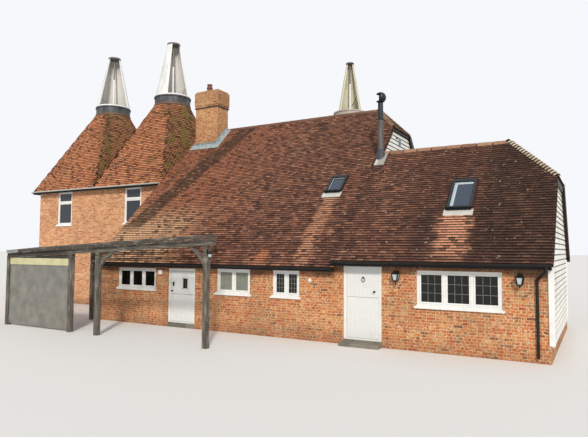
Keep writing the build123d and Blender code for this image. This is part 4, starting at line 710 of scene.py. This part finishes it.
for streak in (
        (-2.55, -1.6, -4.9, -0.1, 0.82, (70, 56, 40), 0.48),
        (4.72, 5.25, -6.1, -2.4, 0.6, (66, 48, 46), 0.08),
        (7.02, 7.42, -6.1, -4.6, 0.65, (58, 42, 40)),
        (8.55, 8.95, -6.1, -2.8, 0.5, (52, 38, 36)),
        (3.50, 3.98, -6.1, -3.78, 0.9, (206, 148, 116)),
        (7.60, 8.42, -6.1, -4.80, 0.88, (226, 162, 128)),
        (2.1, 2.5, -6.1, -5.5, 0.7, (226, 140, 96))):
    range_clay.streak(*streak)
range_clay.tint(range_clay.facing().size().ease(0.6, 0.85) * 0.85, (60, 44, 40))
range_clay.close(pale=faded)
kiln_clay = Clay("kiln roof tiles", "roof_tile", (216, 142, 96), (188, 116, 81), (234, 158, 109),
                 (164, 100, 74), (222, 144, 96), (200, 128, 87), (240, 170, 120))
edge, cloud = kiln_clay.edge, kiln_clay.cloud
kiln_clay.tint(((cloud - 0.5) * 6).ease(0.0, 1.0) * 0.45, (150, 92, 70))
facing = kiln_clay.facing()
shady = (facing + edge * 2.2).ease(0.0, 0.55)
kiln_clay.tint(shady * 0.5, (100, 84, 60))
moss = ((cloud + edge * 0.3 - 0.44) * 3.4).ease(0.0, 1.0) * (kiln_clay.x.ease(-10.4, -6.6) * 0.45 + 0.45)
kiln_clay.tint(shady * moss, (128, 136, 58))
hip_dirt = ((facing.size() - 0.32).size() * -9 + 1.0).most(0) * kiln_clay.z.ease(6.0, 8.5)
kiln_clay.tint(hip_dirt * 0.5, (92, 66, 56))
kiln_clay.close()
batten_clay = Finish("roof under tiles", 0.9, Specular_IOR_Level=0.15)
batten_clay.mottle((58, 42, 37), (84, 60, 51), 5, 5).grain(0.003, 30)
batten_clay.on("main_roof_front", "main_roof_rear", "wing_roof_front", "wing_roof_rear", "half_hips",
               "kiln_1_roof", "kiln_2_roof", "kiln_3_roof")

RISE = 0.988
COS = 1 / math.hypot(1, RISE)
SIN = RISE * COS
# Each range's roof: its right-hand edge, its ridge's Y and Z, and the drop and run of its half-hip.
RIDGE_Z, WING_RIDGE_Y, WING_RIDGE_Z = 8.065, -2.423, 5.911
MAIN_ROOF = (4.9, 0, RIDGE_Z, 0.972, 0.933)
WING_ROOF = (10.4, WING_RIDGE_Y, WING_RIDGE_Z, 1.319, 1.384)
KILN_1, KILN_2, KILN_3 = (-11.1, 0.2), (-6.9, 0.2), (-0.31, 6.95)
EAVE_OUT = 0.025


def slope_courses(roof, eave_y, start_x, holes=()):
    """Courses of one slope of a range, with its end cut to the line of the half-hip."""
    edge_x, ridge_y, ridge_z, drop, hip_run = roof
    side = -1 if eave_y < ridge_y else 1
    run = abs(eave_y - ridge_y)
    origin = Vector((0, eave_y + side * EAVE_OUT * COS, ridge_z - RISE * run - EAVE_OUT * SIN))

    def limits(up):
        past = max(0, origin.z + up * SIN - (ridge_z - drop)) / drop * hip_run
        return (start_x, edge_x - past) if side < 0 else (past - edge_x, -start_x)

    cut = [(x0, x1, (front - origin.y) / COS, (back - origin.y) / COS) for x0, x1, front, back in holes]
    return courses(origin, (-side, 0, 0), (0, -side * COS, SIN), run / COS - 0.05, limits, cut)


def half_hip(edge_x, ridge_y, ridge_z, drop, run):
    """Courses of a half-hip that leans back from the gable's top."""
    up = Vector((-run, 0, drop)).normalized()
    origin = Vector((edge_x + 0.015, ridge_y, ridge_z - drop - 0.015))
    return courses(origin, (0, 1, 0), up, math.hypot(run, drop) - 0.06,
                   lambda distance: [side * (drop - distance * up.z) / RISE for side in (-1, 1)])


def kiln_places(node, centre):
    """Courses round a kiln roof, level lines found on its CAD solid, square below and round above."""
    faces = cad[node].data
    tree = BVHTree.FromPolygons([vertex.co.copy() for vertex in faces.vertices],
                                [tuple(face.vertices) for face in faces.polygons])
    steps = 180

    def ring(height):
        axis = Vector((*centre, height))
        return [tree.ray_cast(axis + way * 6, -way)[0] or axis + way for way in bearings(steps)]

    places = []
    low, high, rise = 5.42, 9.58, 0.09
    for course in range(int((high - low) / rise)):
        lower = ring(max(low + course * rise, 5.432))
        upper = ring(low + course * rise + 0.06)
        lengths = [(lower[(step + 1) % steps] - lower[step]).length for step in range(steps)]
        around = sum(lengths)
        count = round(around / TILE)
        walked, step = 0.0, 0
        for number in range(count):
            target = (number + (course % 2) * 0.5) * around / count
            while walked + lengths[step % steps] < target:
                walked += lengths[step % steps]
                step += 1
            share = (target - walked) / lengths[step % steps]
            here, there = step % steps, (step + 1) % steps
            spot = lower[here].lerp(lower[there], share)
            up = (upper[here].lerp(upper[there], share) - spot).normalized()
            facing = (lower[there] - lower[here]).normalized().cross(up)
            places.append((spot, facing, up, around / count / TILE - 0.01))
    return places


lay("main_front_tiles", slope_courses(MAIN_ROOF, -6.0, -4.85, [
    (3.39, 4.05, -3.77, -3.03), (-4.67, -3.17, -0.94, -0.05)]), range_clay, Seed=3)
lay("main_rear_tiles", slope_courses(MAIN_ROOF, 4.5, -4.85), range_clay, Seed=5)
lay("wing_front_tiles", slope_courses(WING_ROOF, -6.05, 4.8, [
    (7.62, 8.39, -4.80, -3.75), (4.80, 5.22, -2.94, -2.42)]), range_clay, Seed=7)
lay("wing_rear_tiles", slope_courses(WING_ROOF, 1.204, 4.8), range_clay, Seed=9)
lay("half_hip_tiles", half_hip(*MAIN_ROOF) + half_hip(*WING_ROOF), range_clay, Seed=11)
for name, centre, seed in (("kiln_1", KILN_1, 21), ("kiln_2", KILN_2, 22), ("kiln_3", KILN_3, 23)):
    lay(name + "_tiles", kiln_places(name + "_roof", centre), kiln_clay, Seed=seed, Tail=0.018, Wander=0.02)

# Ridge and hip tiles: half-round clay ridge tiles 450 mm long in a mortar bed, and bonnet tiles
# stepping down each hip. The ridge is a CAD solid that the single tiles stand for.
ridge_clay = Clay("ridge tiles", "ridge_tile", (150, 110, 88), (170, 134, 108), (122, 88, 71), (158, 120, 96))
ridge_clay.tint((1 - ridge_clay.x.ease(3.4, 4.6)) * 0.8, (104, 72, 60))
ridge_clay.colour((ridge_clay.noise(14, 5).above(0.5) * 2).mix(ridge_clay.body, (90, 70, 60)))
ridge_clay.grain(0.003, 70)
bonnet_clay = Clay("bonnet tiles", "ridge_tile", (198, 182, 158), (216, 204, 182), (176, 152, 126),
                        (206, 192, 168))
bonnet_clay.tint((1 - bonnet_clay.x.ease(4.9, 6.0)) * 0.6, (150, 100, 76))
# Painted shade: each bonnet darkens where the next one above it laps over.
bonnet_clay.tint(bonnet_clay.own("up").ease(0.25, 0.40), (46, 36, 32))
bonnet_clay.colour(bonnet_clay.body)
bonnet_clay.grain(0.003, 60)
ridge_places = []
for x0, x1, y, z in ((-4.85, 3.99, 0, RIDGE_Z), (4.83, 9.05, WING_RIDGE_Y, WING_RIDGE_Z)):
    count = round((x1 - x0) / 0.45)
    for number in range(count):
        spot = Vector((x0 + (x1 - x0) * number / count, y, z + 0.008))
        ridge_places.append((spot, Vector((0, 0, 1)), Vector((1, 0, 0)), 1.0))
ridge = lay("ridge_tiles_laid", ridge_places, ridge_clay, Width=0.25, Length=0.44, Thickness=0.018,
            Camber=0.125, Tail=0.004, Across=9, Wander=0.008, Seed=31)
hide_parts("ridge_tiles")
bonnets = []
for edge_x, ridge_y, ridge_z, drop, run in (MAIN_ROOF, WING_ROOF):
    for side in (-1, 1):
        foot = Vector((edge_x, ridge_y + side * drop / RISE, ridge_z - drop))
        head = Vector((edge_x - run, ridge_y, ridge_z))
        up = (head - foot).normalized()
        out = (Vector((drop, 0, run)).normalized() + Vector((0, side * SIN, COS))).normalized()
        out = (out - up * out.dot(up)).normalized()
        count = int((head - foot).length / 0.12)
        for number in range(count):
            bonnets.append((foot + up * (0.12 * number + 0.025) + out * 0.03, out, up, 1.0))
lay("hip_bonnets", bonnets, bonnet_clay, Width=0.2, Length=0.2, Thickness=0.014, Camber=0.07,
    Tail=0.03, Across=7, Wander=0.02, Seed=33)

# Weatherboarded gables: feather-edged softwood boards 150 mm deep, each lapped over the one below
# and painted white, with upright corner boards. They hide the brick of both right-hand gables.
BOARD = 0.150
board_white = Finish("white boards", 0.55, "white_boards")
fresh = (board_white.own("shade") * 0.4).mix((246, 245, 240), (224, 222, 212))
grimed = (board_white.noise(1.6, 6).above(0.42) * 1.3).mix(fresh, (160, 158, 146))
# Painted shade: a dark line on each board just under the lap of the board above.
board_white.colour(board_white.own("up").ease(0.60, 0.72).mix(grimed, (34, 33, 32)))
board_white.bump(board_white.noise(9, 6, (0.12, 0.12, 2.0)), 0.0015)


def board_rows(face_x, foot, head, limits):
    """A board on each row of a gable, or two where something stands in the middle."""
    places = []
    row = foot
    while row < head:
        for low, high in limits(row):
            if high - low > 0.05:
                places.append((Vector((face_x + 0.002, (low + high) / 2, row)), Vector((1, 0, 0)),
                               Vector((0, 0, 1)), high - low))
        row += BOARD
    return places


def main_rows(z):
    """The main gable's width at a height, less what the wing's roof covers."""
    half = (RIDGE_Z - z - 0.12) / RISE
    low, high = max(-half, -5.8), min(half, 4.3)
    if z > WING_RIDGE_Z + 0.12:
        return [(low, high)]
    wing_half = (WING_RIDGE_Z + 0.1 - z) / RISE
    return [(low, WING_RIDGE_Y - wing_half), (WING_RIDGE_Y + wing_half, high)]


def wing_rows(z):
    """The wing gable's width at a height."""
    half = (WING_RIDGE_Z - z - 0.12) / RISE
    return [(max(-5.8, WING_RIDGE_Y - half), min(0.954, WING_RIDGE_Y + half))]


boards = board_rows(4.8, 2.5, 6.98, main_rows) + board_rows(10.3, 0.42, 4.48, wing_rows)
lay("gable_boards", boards, board_white, Width=1.0, Length=0.175, Thickness=0.008, Camber=0.0, Tail=0.016,
    Across=2, Wander=0.0006, Seed=41)
battens("corner_boards", [
    ((10.262, -5.832, 0.42), (10.385, -5.700, 2.30)), ((10.302, 0.86, 0.42), (10.335, 0.985, 2.30)),
    ((10.302, -5.70, 0.36), (10.345, 0.86, 0.42))], white, bevel=0.004)
louvre = Finish("blue-grey louvre", 0.5, "white_joinery")
louvre.mottle((140, 160, 176), (112, 130, 146), 8).grain(0.001, 20)
slats = [((4.822, -0.19, 6.56 + 0.037 * blade), (4.836, 0.0, 6.582 + 0.037 * blade)) for blade in range(7)]
battens("gable_louvre", slats + [((4.822, *low), (4.842, *high))
                                 for low, high in border(-0.21, 0.02, 6.53, 6.84, 0.02)], louvre, bevel=0.002)
battens("gable_fixing", [((4.822, -0.46, 6.74), (4.87, -0.42, 6.82))], iron)
tar = Finish("black barge board", 0.6, "black_gutter")
tar.mottle((24, 24, 26), (52, 50, 50), 10, 5).grain(0.001, 30)
fascias = []
for (edge_x, ridge_y, ridge_z, drop, _), deep in ((MAIN_ROOF, 0.10), (WING_ROOF, 0.19)):
    half, z = drop / RISE + 0.04, ridge_z - drop
    fascias.append(((edge_x - 0.045, ridge_y - half, z - deep), (edge_x - 0.020, ridge_y + half, z - 0.035)))
battens("hip_fascias", fascias, tar)

# Kerbs and cowls: a lead-dressed drum closes each kiln roof, and on it a tall cone of upright white
# boards turns with the wind on a painted post. The cones are CAD solids; their boards are laid over them.
COWL_FOOT, COWL_HEIGHT = 10.042, 2.69
cowl_white = Finish("cowl boards", 0.6, "cowl_boards")
drips = cowl_white.noise(5, 6, (1, 1, 0.12)).above(0.47) * 1.8
fresh = (cowl_white.own("shade") * 0.3).mix((232, 234, 232), (206, 210, 208))
cowl_white.colour(drips.mix(fresh, (150, 156, 150)))
cowl_white.bump(cowl_white.noise(12, 5, (1, 1, 0.1)), 0.002)
cowl_green = Finish("rear cowl boards", 0.7, "cowl_boards")
drips = cowl_green.noise(4, 6, (1, 1, 0.2)).above(0.45) * 2.0
_, _, z = cowl_green.axes()
stained = drips.mix((214, 210, 190), (160, 160, 132))
cowl_green.colour(z.ease(12.73, 12.74).mix(stained, (44, 50, 54)))
cowl_green.bump(cowl_green.noise(12, 5, (1, 1, 0.1)), 0.002)
cowl_green.on("cowl_3")
cowl_lining = Finish("cowl lining", 0.7, "cowl_boards")
x, y, z = cowl_lining.axes()
off_x, off_y = x - ((x > -9.0) * (KILN_2[0] - KILN_1[0]) + KILN_1[0]), y - KILN_1[1]
reach = 0.84 - (z - COWL_FOOT) * 0.2045
within = (reach * reach - off_x * off_x - off_y * off_y).ease(0.010, 0.024)
drips = cowl_lining.noise(5, 6, (1, 1, 0.12))
# Painted shade: inside the cone the boards darken towards the top, under the cowl's hood.
hood_shade = (z + drips * 0.7).ease(12.2, 13.3)
inner = hood_shade.mix(drips.mix((238, 236, 233), (206, 203, 198)), (84, 78, 70))
cone = within.mix((236, 238, 238), inner)
cowl_lining.colour(z.ease(12.72, 12.74).mix(cone, (116, 112, 106)))
cowl_lining.bump(drips, 0.003)
cowl_lining.on("cowl_1", "cowl_2")
post_paint_and_shade = Finish("cowl post paint and shade", 0.6)
_, _, z = post_paint_and_shade.axes()
# Painted shade: the post is white below z 11.62 and dark grey above, in the shade under the cowl's top.
post_paint_and_shade.colour(z.ease(11.62, 11.68).mix((244, 244, 242), (132, 126, 116)))
post_paint_and_shade.bump(post_paint_and_shade.noise(12, 4, (1, 1, 0.2)), 0.002)
post_paint_and_shade.on("cowl_posts")


def cowl_boards(name, body, centre, base, top, turn, finish):
    """Tapering boards round the closed part of a cowl, with a hair's gap between them."""
    shape = bmesh.new()
    mouth = 130
    count = round(math.radians(360 - mouth) * base / 0.15)
    for number in range(count):
        first = math.radians(turn + mouth / 2 + (360 - mouth) * number / count + 0.35)
        last = math.radians(turn + mouth / 2 + (360 - mouth) * (number + 1) / count - 0.35)
        angles = (first, (first + last) / 2, last)
        loops = []
        for rise in (0.075, 2.672):
            radius = base + (top - base) * rise / COWL_HEIGHT
            inside = [Vector((math.cos(angle), math.sin(angle), 0)) * (radius + 0.001) for angle in angles]
            outside = [spot * (radius + 0.013) / (radius + 0.001) for spot in reversed(inside)]
            loops.append([Vector((*centre, COWL_FOOT + rise)) + spot for spot in inside + outside])
        skin(shape, loops)
    settle(piece_from(shape, name, finish), body)


cowl_boards("cowl_1_boards", "cowl_1_head", KILN_1, 0.84, 0.29, -41, cowl_white)
cowl_boards("cowl_2_boards", "cowl_2_head", KILN_2, 0.84, 0.29, -2, cowl_white)
cowl_boards("cowl_3_boards", "cowl_3_head", KILN_3, 0.62, 0.19, -66, cowl_green)
brace_green = Finish("brace lichen", 0.8, "cowl_boards")
brace_green.mottle((66, 72, 46), (110, 112, 80), 12).grain(0.001, 30, 3)
for name, body, centre, turn, foot, head, finish in (
        ("cowl_2_brace", "cowl_2_head", KILN_2, 67, (0.14, 10.30), (0.60, 10.74), cowl_lining),
        ("cowl_3_brace", "cowl_3_head", KILN_3, 4, (0.14, 10.42), (0.40, 10.96), brace_green)):
    way = Vector((math.cos(math.radians(turn)), math.sin(math.radians(turn)), 0))
    start, end = (Vector((*centre, z)) + way * off for off, z in (foot, head))
    brace = end - start
    turned(name, [(0.026, 0.0), (0.026, brace.length)], start, brace.normalized(), finish, body, steps=4)

# Chimney pot, stove flue and gutters: a fired clay pot on the brick stack, an enamelled steel pipe
# with a turning hood, and black half-round gutters on brackets with joints every two metres.
pot = Finish("fired clay", 0.8, "clay")
pot.colour(pot.noise(9, 6).ramp((0.3, (96, 58, 50)), (0.7, (132, 84, 70))))
pot.grain(0.002, 50)
pot.on("chimney_pot")
turned("chimney_pot_collar", [
    (0.138, 0), (0.138, 0.02), (0.112, 0.04), (0.106, 0.12), (0.124, 0.135), (0.124, 0.16), (0.098, 0.16),
    (0.090, 0.02)], (-4.07, -0.43, 9.99), (0, 0, 1), pot, steps=32)
# Painted shade: a thin dark strip under the stack's oversailing head stands for the shadow there.
stack_shadow = Finish("stack shadow strip", 0.7, "brick")
stack_shadow.mottle((44, 36, 34), (74, 60, 54), 8, 5).grain(0.002, 30)
battens("chimney_shadow_strip", [((-4.583, -0.853, 8.962), (-3.257, -0.007, 9.008))], stack_shadow, bevel=0.004)

steel = Finish("enamelled steel", 0.5, "black_steel", Metallic=0.3)
ash = steel.noise(6, 6, (1, 1, 0.3))
_, _, z = steel.axes()
steel.colour(z.ease(7.0, 7.03).mix(
    ash.ramp((0.3, (78, 74, 70)), (0.6, (100, 96, 90)), (0.9, (128, 124, 116))),
    ash.ramp((0.3, (22, 24, 27)), (0.6, (38, 42, 46)), (0.9, (74, 80, 86)))))
steel.feed("Roughness", ash * 0.4 + 0.25)
steel.bump(ash, 0.0008)
steel.on("flue_pipe", "flue_cowl")
skirt_metal = Finish("flue skirt", 0.6, "black_steel").mottle((34, 35, 42), (70, 70, 80), 8, 5)
turned("flue_skirt", [(0.205, 0.0), (0.198, 0.05), (0.128, 0.31), (0.106, 0.34), (0.106, 0.37)],
       (4.99, -2.56, 5.60), (0, 0, 1), skirt_metal, steps=32)
battens("flue_band", [((4.872, -2.678, 7.0), (5.108, -2.442, 7.03))], steel, bevel=0.03)

gutter_black = Finish("black gutter", 0.38, "black_gutter", Specular_IOR_Level=0.2)
dust = gutter_black.noise(5, 6)
_, _, z = gutter_black.axes()
# Painted highlight: the kiln gutters are pale above z 5.37, a painted reflection of the sky on their upper
# lip.
gutter_black.colour((z.ease(5.368, 5.384) * 0.85 + dust * 0.05).mix((9, 9, 10), (206, 208, 206)))
gutter_black.feed("Roughness", dust * 0.3 + 0.4)
gutter_black.bump(dust, 0.0008)
gutter_black.on("range_gutters", "kiln_gutters", "downpipe")
# Painted shade: black boards under the front eaves stand for the shade beneath the gutters.
battens("eaves_shade_boards", [
    ((4.84, -6.046, 2.165), (10.36, -6.022, 2.248)), ((4.84, -6.022, 2.165), (10.36, -5.802, 2.177)),
    ((-4.80, -5.996, 1.990), (4.80, -5.972, 2.060)), ((-4.80, -5.972, 1.990), (4.80, -5.802, 2.002))],
    gutter_black)

black_frame = Finish("roof light metal", 0.5, "light_frame")
wear = black_frame.noise(8, 5)
black_frame.colour(wear.ramp((0.3, (13, 14, 16)), (0.8, (34, 37, 42))))
black_frame.bump(wear, 0.0006)
black_frame.on("roof_light_frames")
foot_metal = Finish("roof light foot cover", 0.85, "light_frame", Specular_IOR_Level=0.1)
foot_metal.mottle((6, 7, 8), (24, 26, 28), 9, 5)
sash_grey = Finish("inner sash paint", 0.5, "white_joinery").mottle((196, 208, 214), (164, 180, 188), 6)


def in_slope(name, spans, roof, finish, bevel=0.003, side=1):
    """Bars that lie in a slope, given across, up the slope from its ridge and out of it."""
    piece = battens(name, spans, finish, bevel=bevel)
    if side < 0:
        piece.data.flip_normals()
    up, out = Vector((0, COS * side, SIN)), Vector((0, -SIN * side, COS))
    for vertex in piece.data.vertices:
        across, along, off = vertex.co
        vertex.co = Vector((across, roof[1], roof[2])) + up * along + out * off


for name, x0, x1, front, back, roof, edge in (
        ("roof_light_1", 3.44, 4.0, -3.64, -3.03, MAIN_ROOF, 0.02),
        ("roof_light_2", 7.67, 8.34, -4.67, -3.75, WING_ROOF, 0.09)):
    low, high = (front - roof[1]) / COS, (back - roof[1]) / COS
    in_slope(name + "_foot", [((x0 - 0.012, low - 0.03, 0.055), (x1 + 0.012, low + 0.075, 0.072))],
             roof, foot_metal)
    in_slope(name + "_cover", [((x0 - 0.012, high - 0.075, 0.055), (x1 + 0.012, high + 0.02, 0.072)),
                               ((x0 - 0.012, low + 0.076, 0.055), (x0 + 0.065, high - 0.076, 0.070)),
                               ((x1 - 0.065, low + 0.076, 0.055), (x1 + 0.012, high - 0.076, 0.070))],
             roof, black_frame)
    in_slope(name + "_lining", [((x0 + 0.061, low + 0.09, -0.11), (x0 + 0.080, high - 0.09, -0.014)),
                                ((x1 - 0.080, low + 0.09, -0.11), (x1 - 0.061, high - 0.09, -0.014)),
                                ((x0 + 0.080, low + 0.09, -0.11), (x1 - 0.080, low + 0.108, -0.014)),
                                ((x0 + 0.080, high - 0.108, -0.11), (x1 - 0.080, high - 0.09, -0.014))],
             roof, white)
    left, right = x0 + 0.062 + edge, x1 - 0.062
    in_slope(name + "_sash", [((x0 + 0.062, low + 0.075, 0.013), (left, high - 0.075, 0.021)),
                              ((left, high - 0.075 - edge, 0.013), (right, high - 0.075, 0.021)),
                              ((left, low + 0.075, 0.013), (right, low + 0.095, 0.021))],
             roof, sash_grey, bevel=0.0)
in_slope("chimney_lead", [
    ((-4.66, -1.50, 0.046), (-3.05, -1.138, 0.052)), ((-3.30, -1.138, 0.046), (-3.05, -0.10, 0.052)),
    ((-3.299, -1.138, 0.052), (-3.293, -0.10, 0.17)), ((-4.56, -1.144, 0.052), (-3.293, -1.138, 0.13))],
    MAIN_ROOF, lead)
in_slope("main_rear_barge", [((4.902, -6.36, -0.15), (4.926, -1.39, 0.05))], MAIN_ROOF, tar, side=-1)
in_slope("wing_rear_barge", [((10.402, -5.08, -0.15), (10.426, -1.89, 0.05))], WING_ROOF, tar, side=-1)

# Wall lanterns: black iron frames that taper to the foot, with pale panes on four sides. A small
# floodlight is fixed beside the first door and a bell beside the third window, and a globe lamp
# stands out from the pergola's right-hand post.
LANTERNS, LANTERN_Y = (6.635, 9.665), -5.92
iron.on("wall_lanterns")
lit = Finish("lantern glass", 0.15, "glass").mottle((150, 164, 168), (206, 216, 218), 18, 3)
panes = bmesh.new()
bars = bmesh.new()
for middle in LANTERNS:
    for way in bearings(4):
        side = Vector((-way.y, way.x, 0))
        foot, head = ([Vector((middle, LANTERN_Y, z)) + way * off + side * half * sign for sign in (-1, 1)]
                      for half, off, z in ((0.036, 0.056, 1.815), (0.062, 0.0815, 1.968)))
        outer = [*foot, *reversed(head)]
        skin(panes, [outer, [spot - way * 0.006 for spot in outer]])
    for way in bearings(4, 0.5):
        side = Vector((-way.y, way.x, 0))
        ends = (Vector((middle, LANTERN_Y, z)) + way * off for off, z in ((0.078, 1.806), (0.113, 1.975)))
        skin(bars, [[spot + way * 0.009 * a + side * 0.016 * b
                     for a, b in ((1, 1), (-1, 1), (-1, -1), (1, -1))] for spot in ends])
settle(piece_from(panes, "lantern_panes", lit))
settle(piece_from(bars, "lantern_bars", iron))
for number, middle in enumerate(LANTERNS, 1):
    turned(f"lantern_drop_{number}", [
        (0.0, 0), (0.012, 0.004), (0.018, 0.020), (0.010, 0.034), (0.040, 0.060), (0.052, 0.070)],
        (middle, LANTERN_Y, 1.727), (0, 0, 1), iron)
battens("lantern_feet", [
    ((middle - 0.064, LANTERN_Y - 0.064, 1.796), (middle + 0.064, LANTERN_Y + 0.064, 1.818))
    for middle in LANTERNS], iron)
battens("floodlight", [
    ((-1.79, -5.88, 1.74), (-1.63, -5.835, 1.88)), ((-1.74, -5.836, 1.79), (-1.68, -5.799, 1.83))],
    white, bevel=0.006)
turned("wall_bell", [(0.056, 0), (0.056, 0.018), (0.048, 0.026), (0.018, 0.032), (0.0, 0.034)],
       (4.03, -5.801, 1.725), (0, -1, 0), white)
turned("pergola_globe", [
    (0.0, 0), (0.022, 0.004), (0.040, 0.022), (0.048, 0.050), (0.042, 0.076), (0.024, 0.092)],
    (2.415, -8.36, 2.385), (0, 0, 1), lit)
turned("pergola_lamp_cap", [
    (0.050, 0.0), (0.056, 0.004), (0.040, 0.034), (0.016, 0.046), (0.010, 0.070)],
    (2.415, -8.36, 2.474), (0, 0, 1), iron)
battens("pergola_lamp_arm", [
    ((2.329, -8.368, 2.53), (2.42, -8.352, 2.546)), ((2.329, -8.39, 2.47), (2.339, -8.33, 2.60))], iron)

# Pergola: weathered oak posts and plate with curved braces, joists up to the tiles and long boards
# laid over them; the left bay is closed by a grey panel under a painted rail.
PERGOLA_FALL = 0.0483
oak = Finish("weathered oak", 0.85, "weathered_oak")
x, _, z = oak.axes()
upright = (2.25 - z).ease(-0.05, 0.05)
run = oak.noise(7, 6, (0.35, 3.0, 3.0))
stand = oak.noise(7, 6, (3.0, 3.0, 0.35))
fibre = run * (1 - upright) + stand * upright
oak_tone = fibre.ramp((0.25, (50, 45, 41)), (0.5, (94, 88, 80)), (0.75, (146, 139, 128)))
oak_tone = (oak.noise(1.3, 4).above(0.45) * 1.2).mix(oak_tone, (88, 84, 66))
shaded = (1 - x.ease(-3.6, -2.6)) * z.ease(2.15, 2.3) * 0.75
oak.colour(shaded.mix(oak_tone, (34, 30, 27)))
oak.bump(fibre, 0.006)
oak.on("pergola_frame")
joist_oak = Finish("oak joists", 0.85, "weathered_oak")
fibre = joist_oak.noise(7, 6, (3.0, 0.35, 3.0))
joist_oak.colour(fibre.ramp((0.25, (54, 49, 43)), (0.5, (86, 79, 70)), (0.75, (122, 114, 102))))
joist_oak.bump(fibre, 0.005)
joist_oak.on("pergola_joists")
board_oak = Finish("oak boards", 0.85)
fibre = board_oak.noise(7, 6, (0.35, 3.0, 3.0))
board_oak.colour(fibre.ramp((0.25, (46, 44, 42)), (0.5, (78, 75, 70)), (0.75, (144, 140, 132))))
board_oak.bump(fibre, 0.005)
board_oak.on("pergola_boards")
laths = battens("pergola_laths", [((-6.28, -8.462, 2.858), (2.655, -8.435, 2.882)),
                                  ((-6.28, -8.462, 2.896), (2.655, -8.435, 2.922))], joist_oak)
for vertex in laths.data.vertices:
    vertex.co.z += (vertex.co.x - 2.62) * PERGOLA_FALL
screen = Finish("pergola screen", 0.6)
_, _, z = screen.axes()
cloud = screen.noise(3, 6)
grey = cloud.ramp((0.3, (108, 107, 101)), (0.8, (142, 140, 132)))
cream = cloud.ramp((0.3, (184, 178, 136)), (0.8, (212, 206, 166)))
screen.colour(z.ease(2.055, 2.065).mix(grey, cream))
screen.bump(cloud, 0.003)
screen.on("pergola_screen")
# Painted shade: an oak board under the left bay's plate, darkened by the oak's shaded tint, fills the gap
# above the rail with shade.
shadow_board = battens("pergola_shadow_board", [((-6.25, -8.32, 2.262), (-3.21, -8.28, 2.27))], oak, bevel=0.0)
for vertex in shadow_board.data.vertices:
    if vertex.co.z > 2.266:
        vertex.co.z = 2.274 + (vertex.co.x + 6.26) * PERGOLA_FALL

# Floor, light and view: a plain pale floor under a soft sky of one broad lamp and a pale world,
# seen from where the front of the house shows with its right-hand end.
floor_mesh = bpy.data.meshes.new("studio_floor")
floor_mesh.from_pydata([(-400, -400, 0), (400, -400, 0), (400, 400, 0), (-400, 400, 0)], [], [(0, 1, 2, 3)])
studio = added("studio_floor", floor_mesh)
studio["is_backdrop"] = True
ground = Finish("studio floor", 0.9).mottle((236, 236, 234), (232, 232, 230), 0.05, 2)
floor_mesh.materials.append(ground.material)

world = bpy.data.worlds.new("pale sky")
world.use_nodes = True
bpy.context.scene.world = world
sky = world.node_tree.nodes["Background"]
light_path = Link(world.node_tree, None).node("ShaderNodeLightPath", output="Is Camera Ray")
seen = light_path.most(light_path.other("Is Glossy Ray")).most(light_path.other("Is Transmission Ray"))
sky.inputs["Color"].default_value = paint((246, 248, 252))
world.node_tree.links.new((seen * 0.42 + 0.58).socket, sky.inputs["Strength"])

sun = bpy.data.lights.new("broad lamp", "SUN")
sun.energy = 2.5
sun.angle = math.radians(6)
sun.color = paint((255, 248, 238))[:3]
lamp = added("broad lamp", sun)
lamp.rotation_mode = "QUATERNION"
lamp.rotation_quaternion = Vector((-0.50, 0.74, -0.56)).to_track_quat("-Z", "Y")

lens = bpy.data.cameras.new("view")
lens.sensor_width = 36.0
IMAGE_WIDTH, FOCAL_LENGTH = 588, 534.01
lens.lens = FOCAL_LENGTH / IMAGE_WIDTH * lens.sensor_width
lens.clip_end = 2000
camera = added("view", lens)
camera.location = (11.30, -19.480, 2.598)
camera.rotation_mode = "QUATERNION"
ahead = Vector((-0.4949, 0.8670, 0.0585)).to_track_quat("-Z", "Y")
camera.rotation_quaternion = ahead @ Quaternion((0, 0, 1), 0.005595)
bpy.context.scene.camera = camera
bpy.context.scene.view_settings.view_transform = "Standard"

low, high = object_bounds()
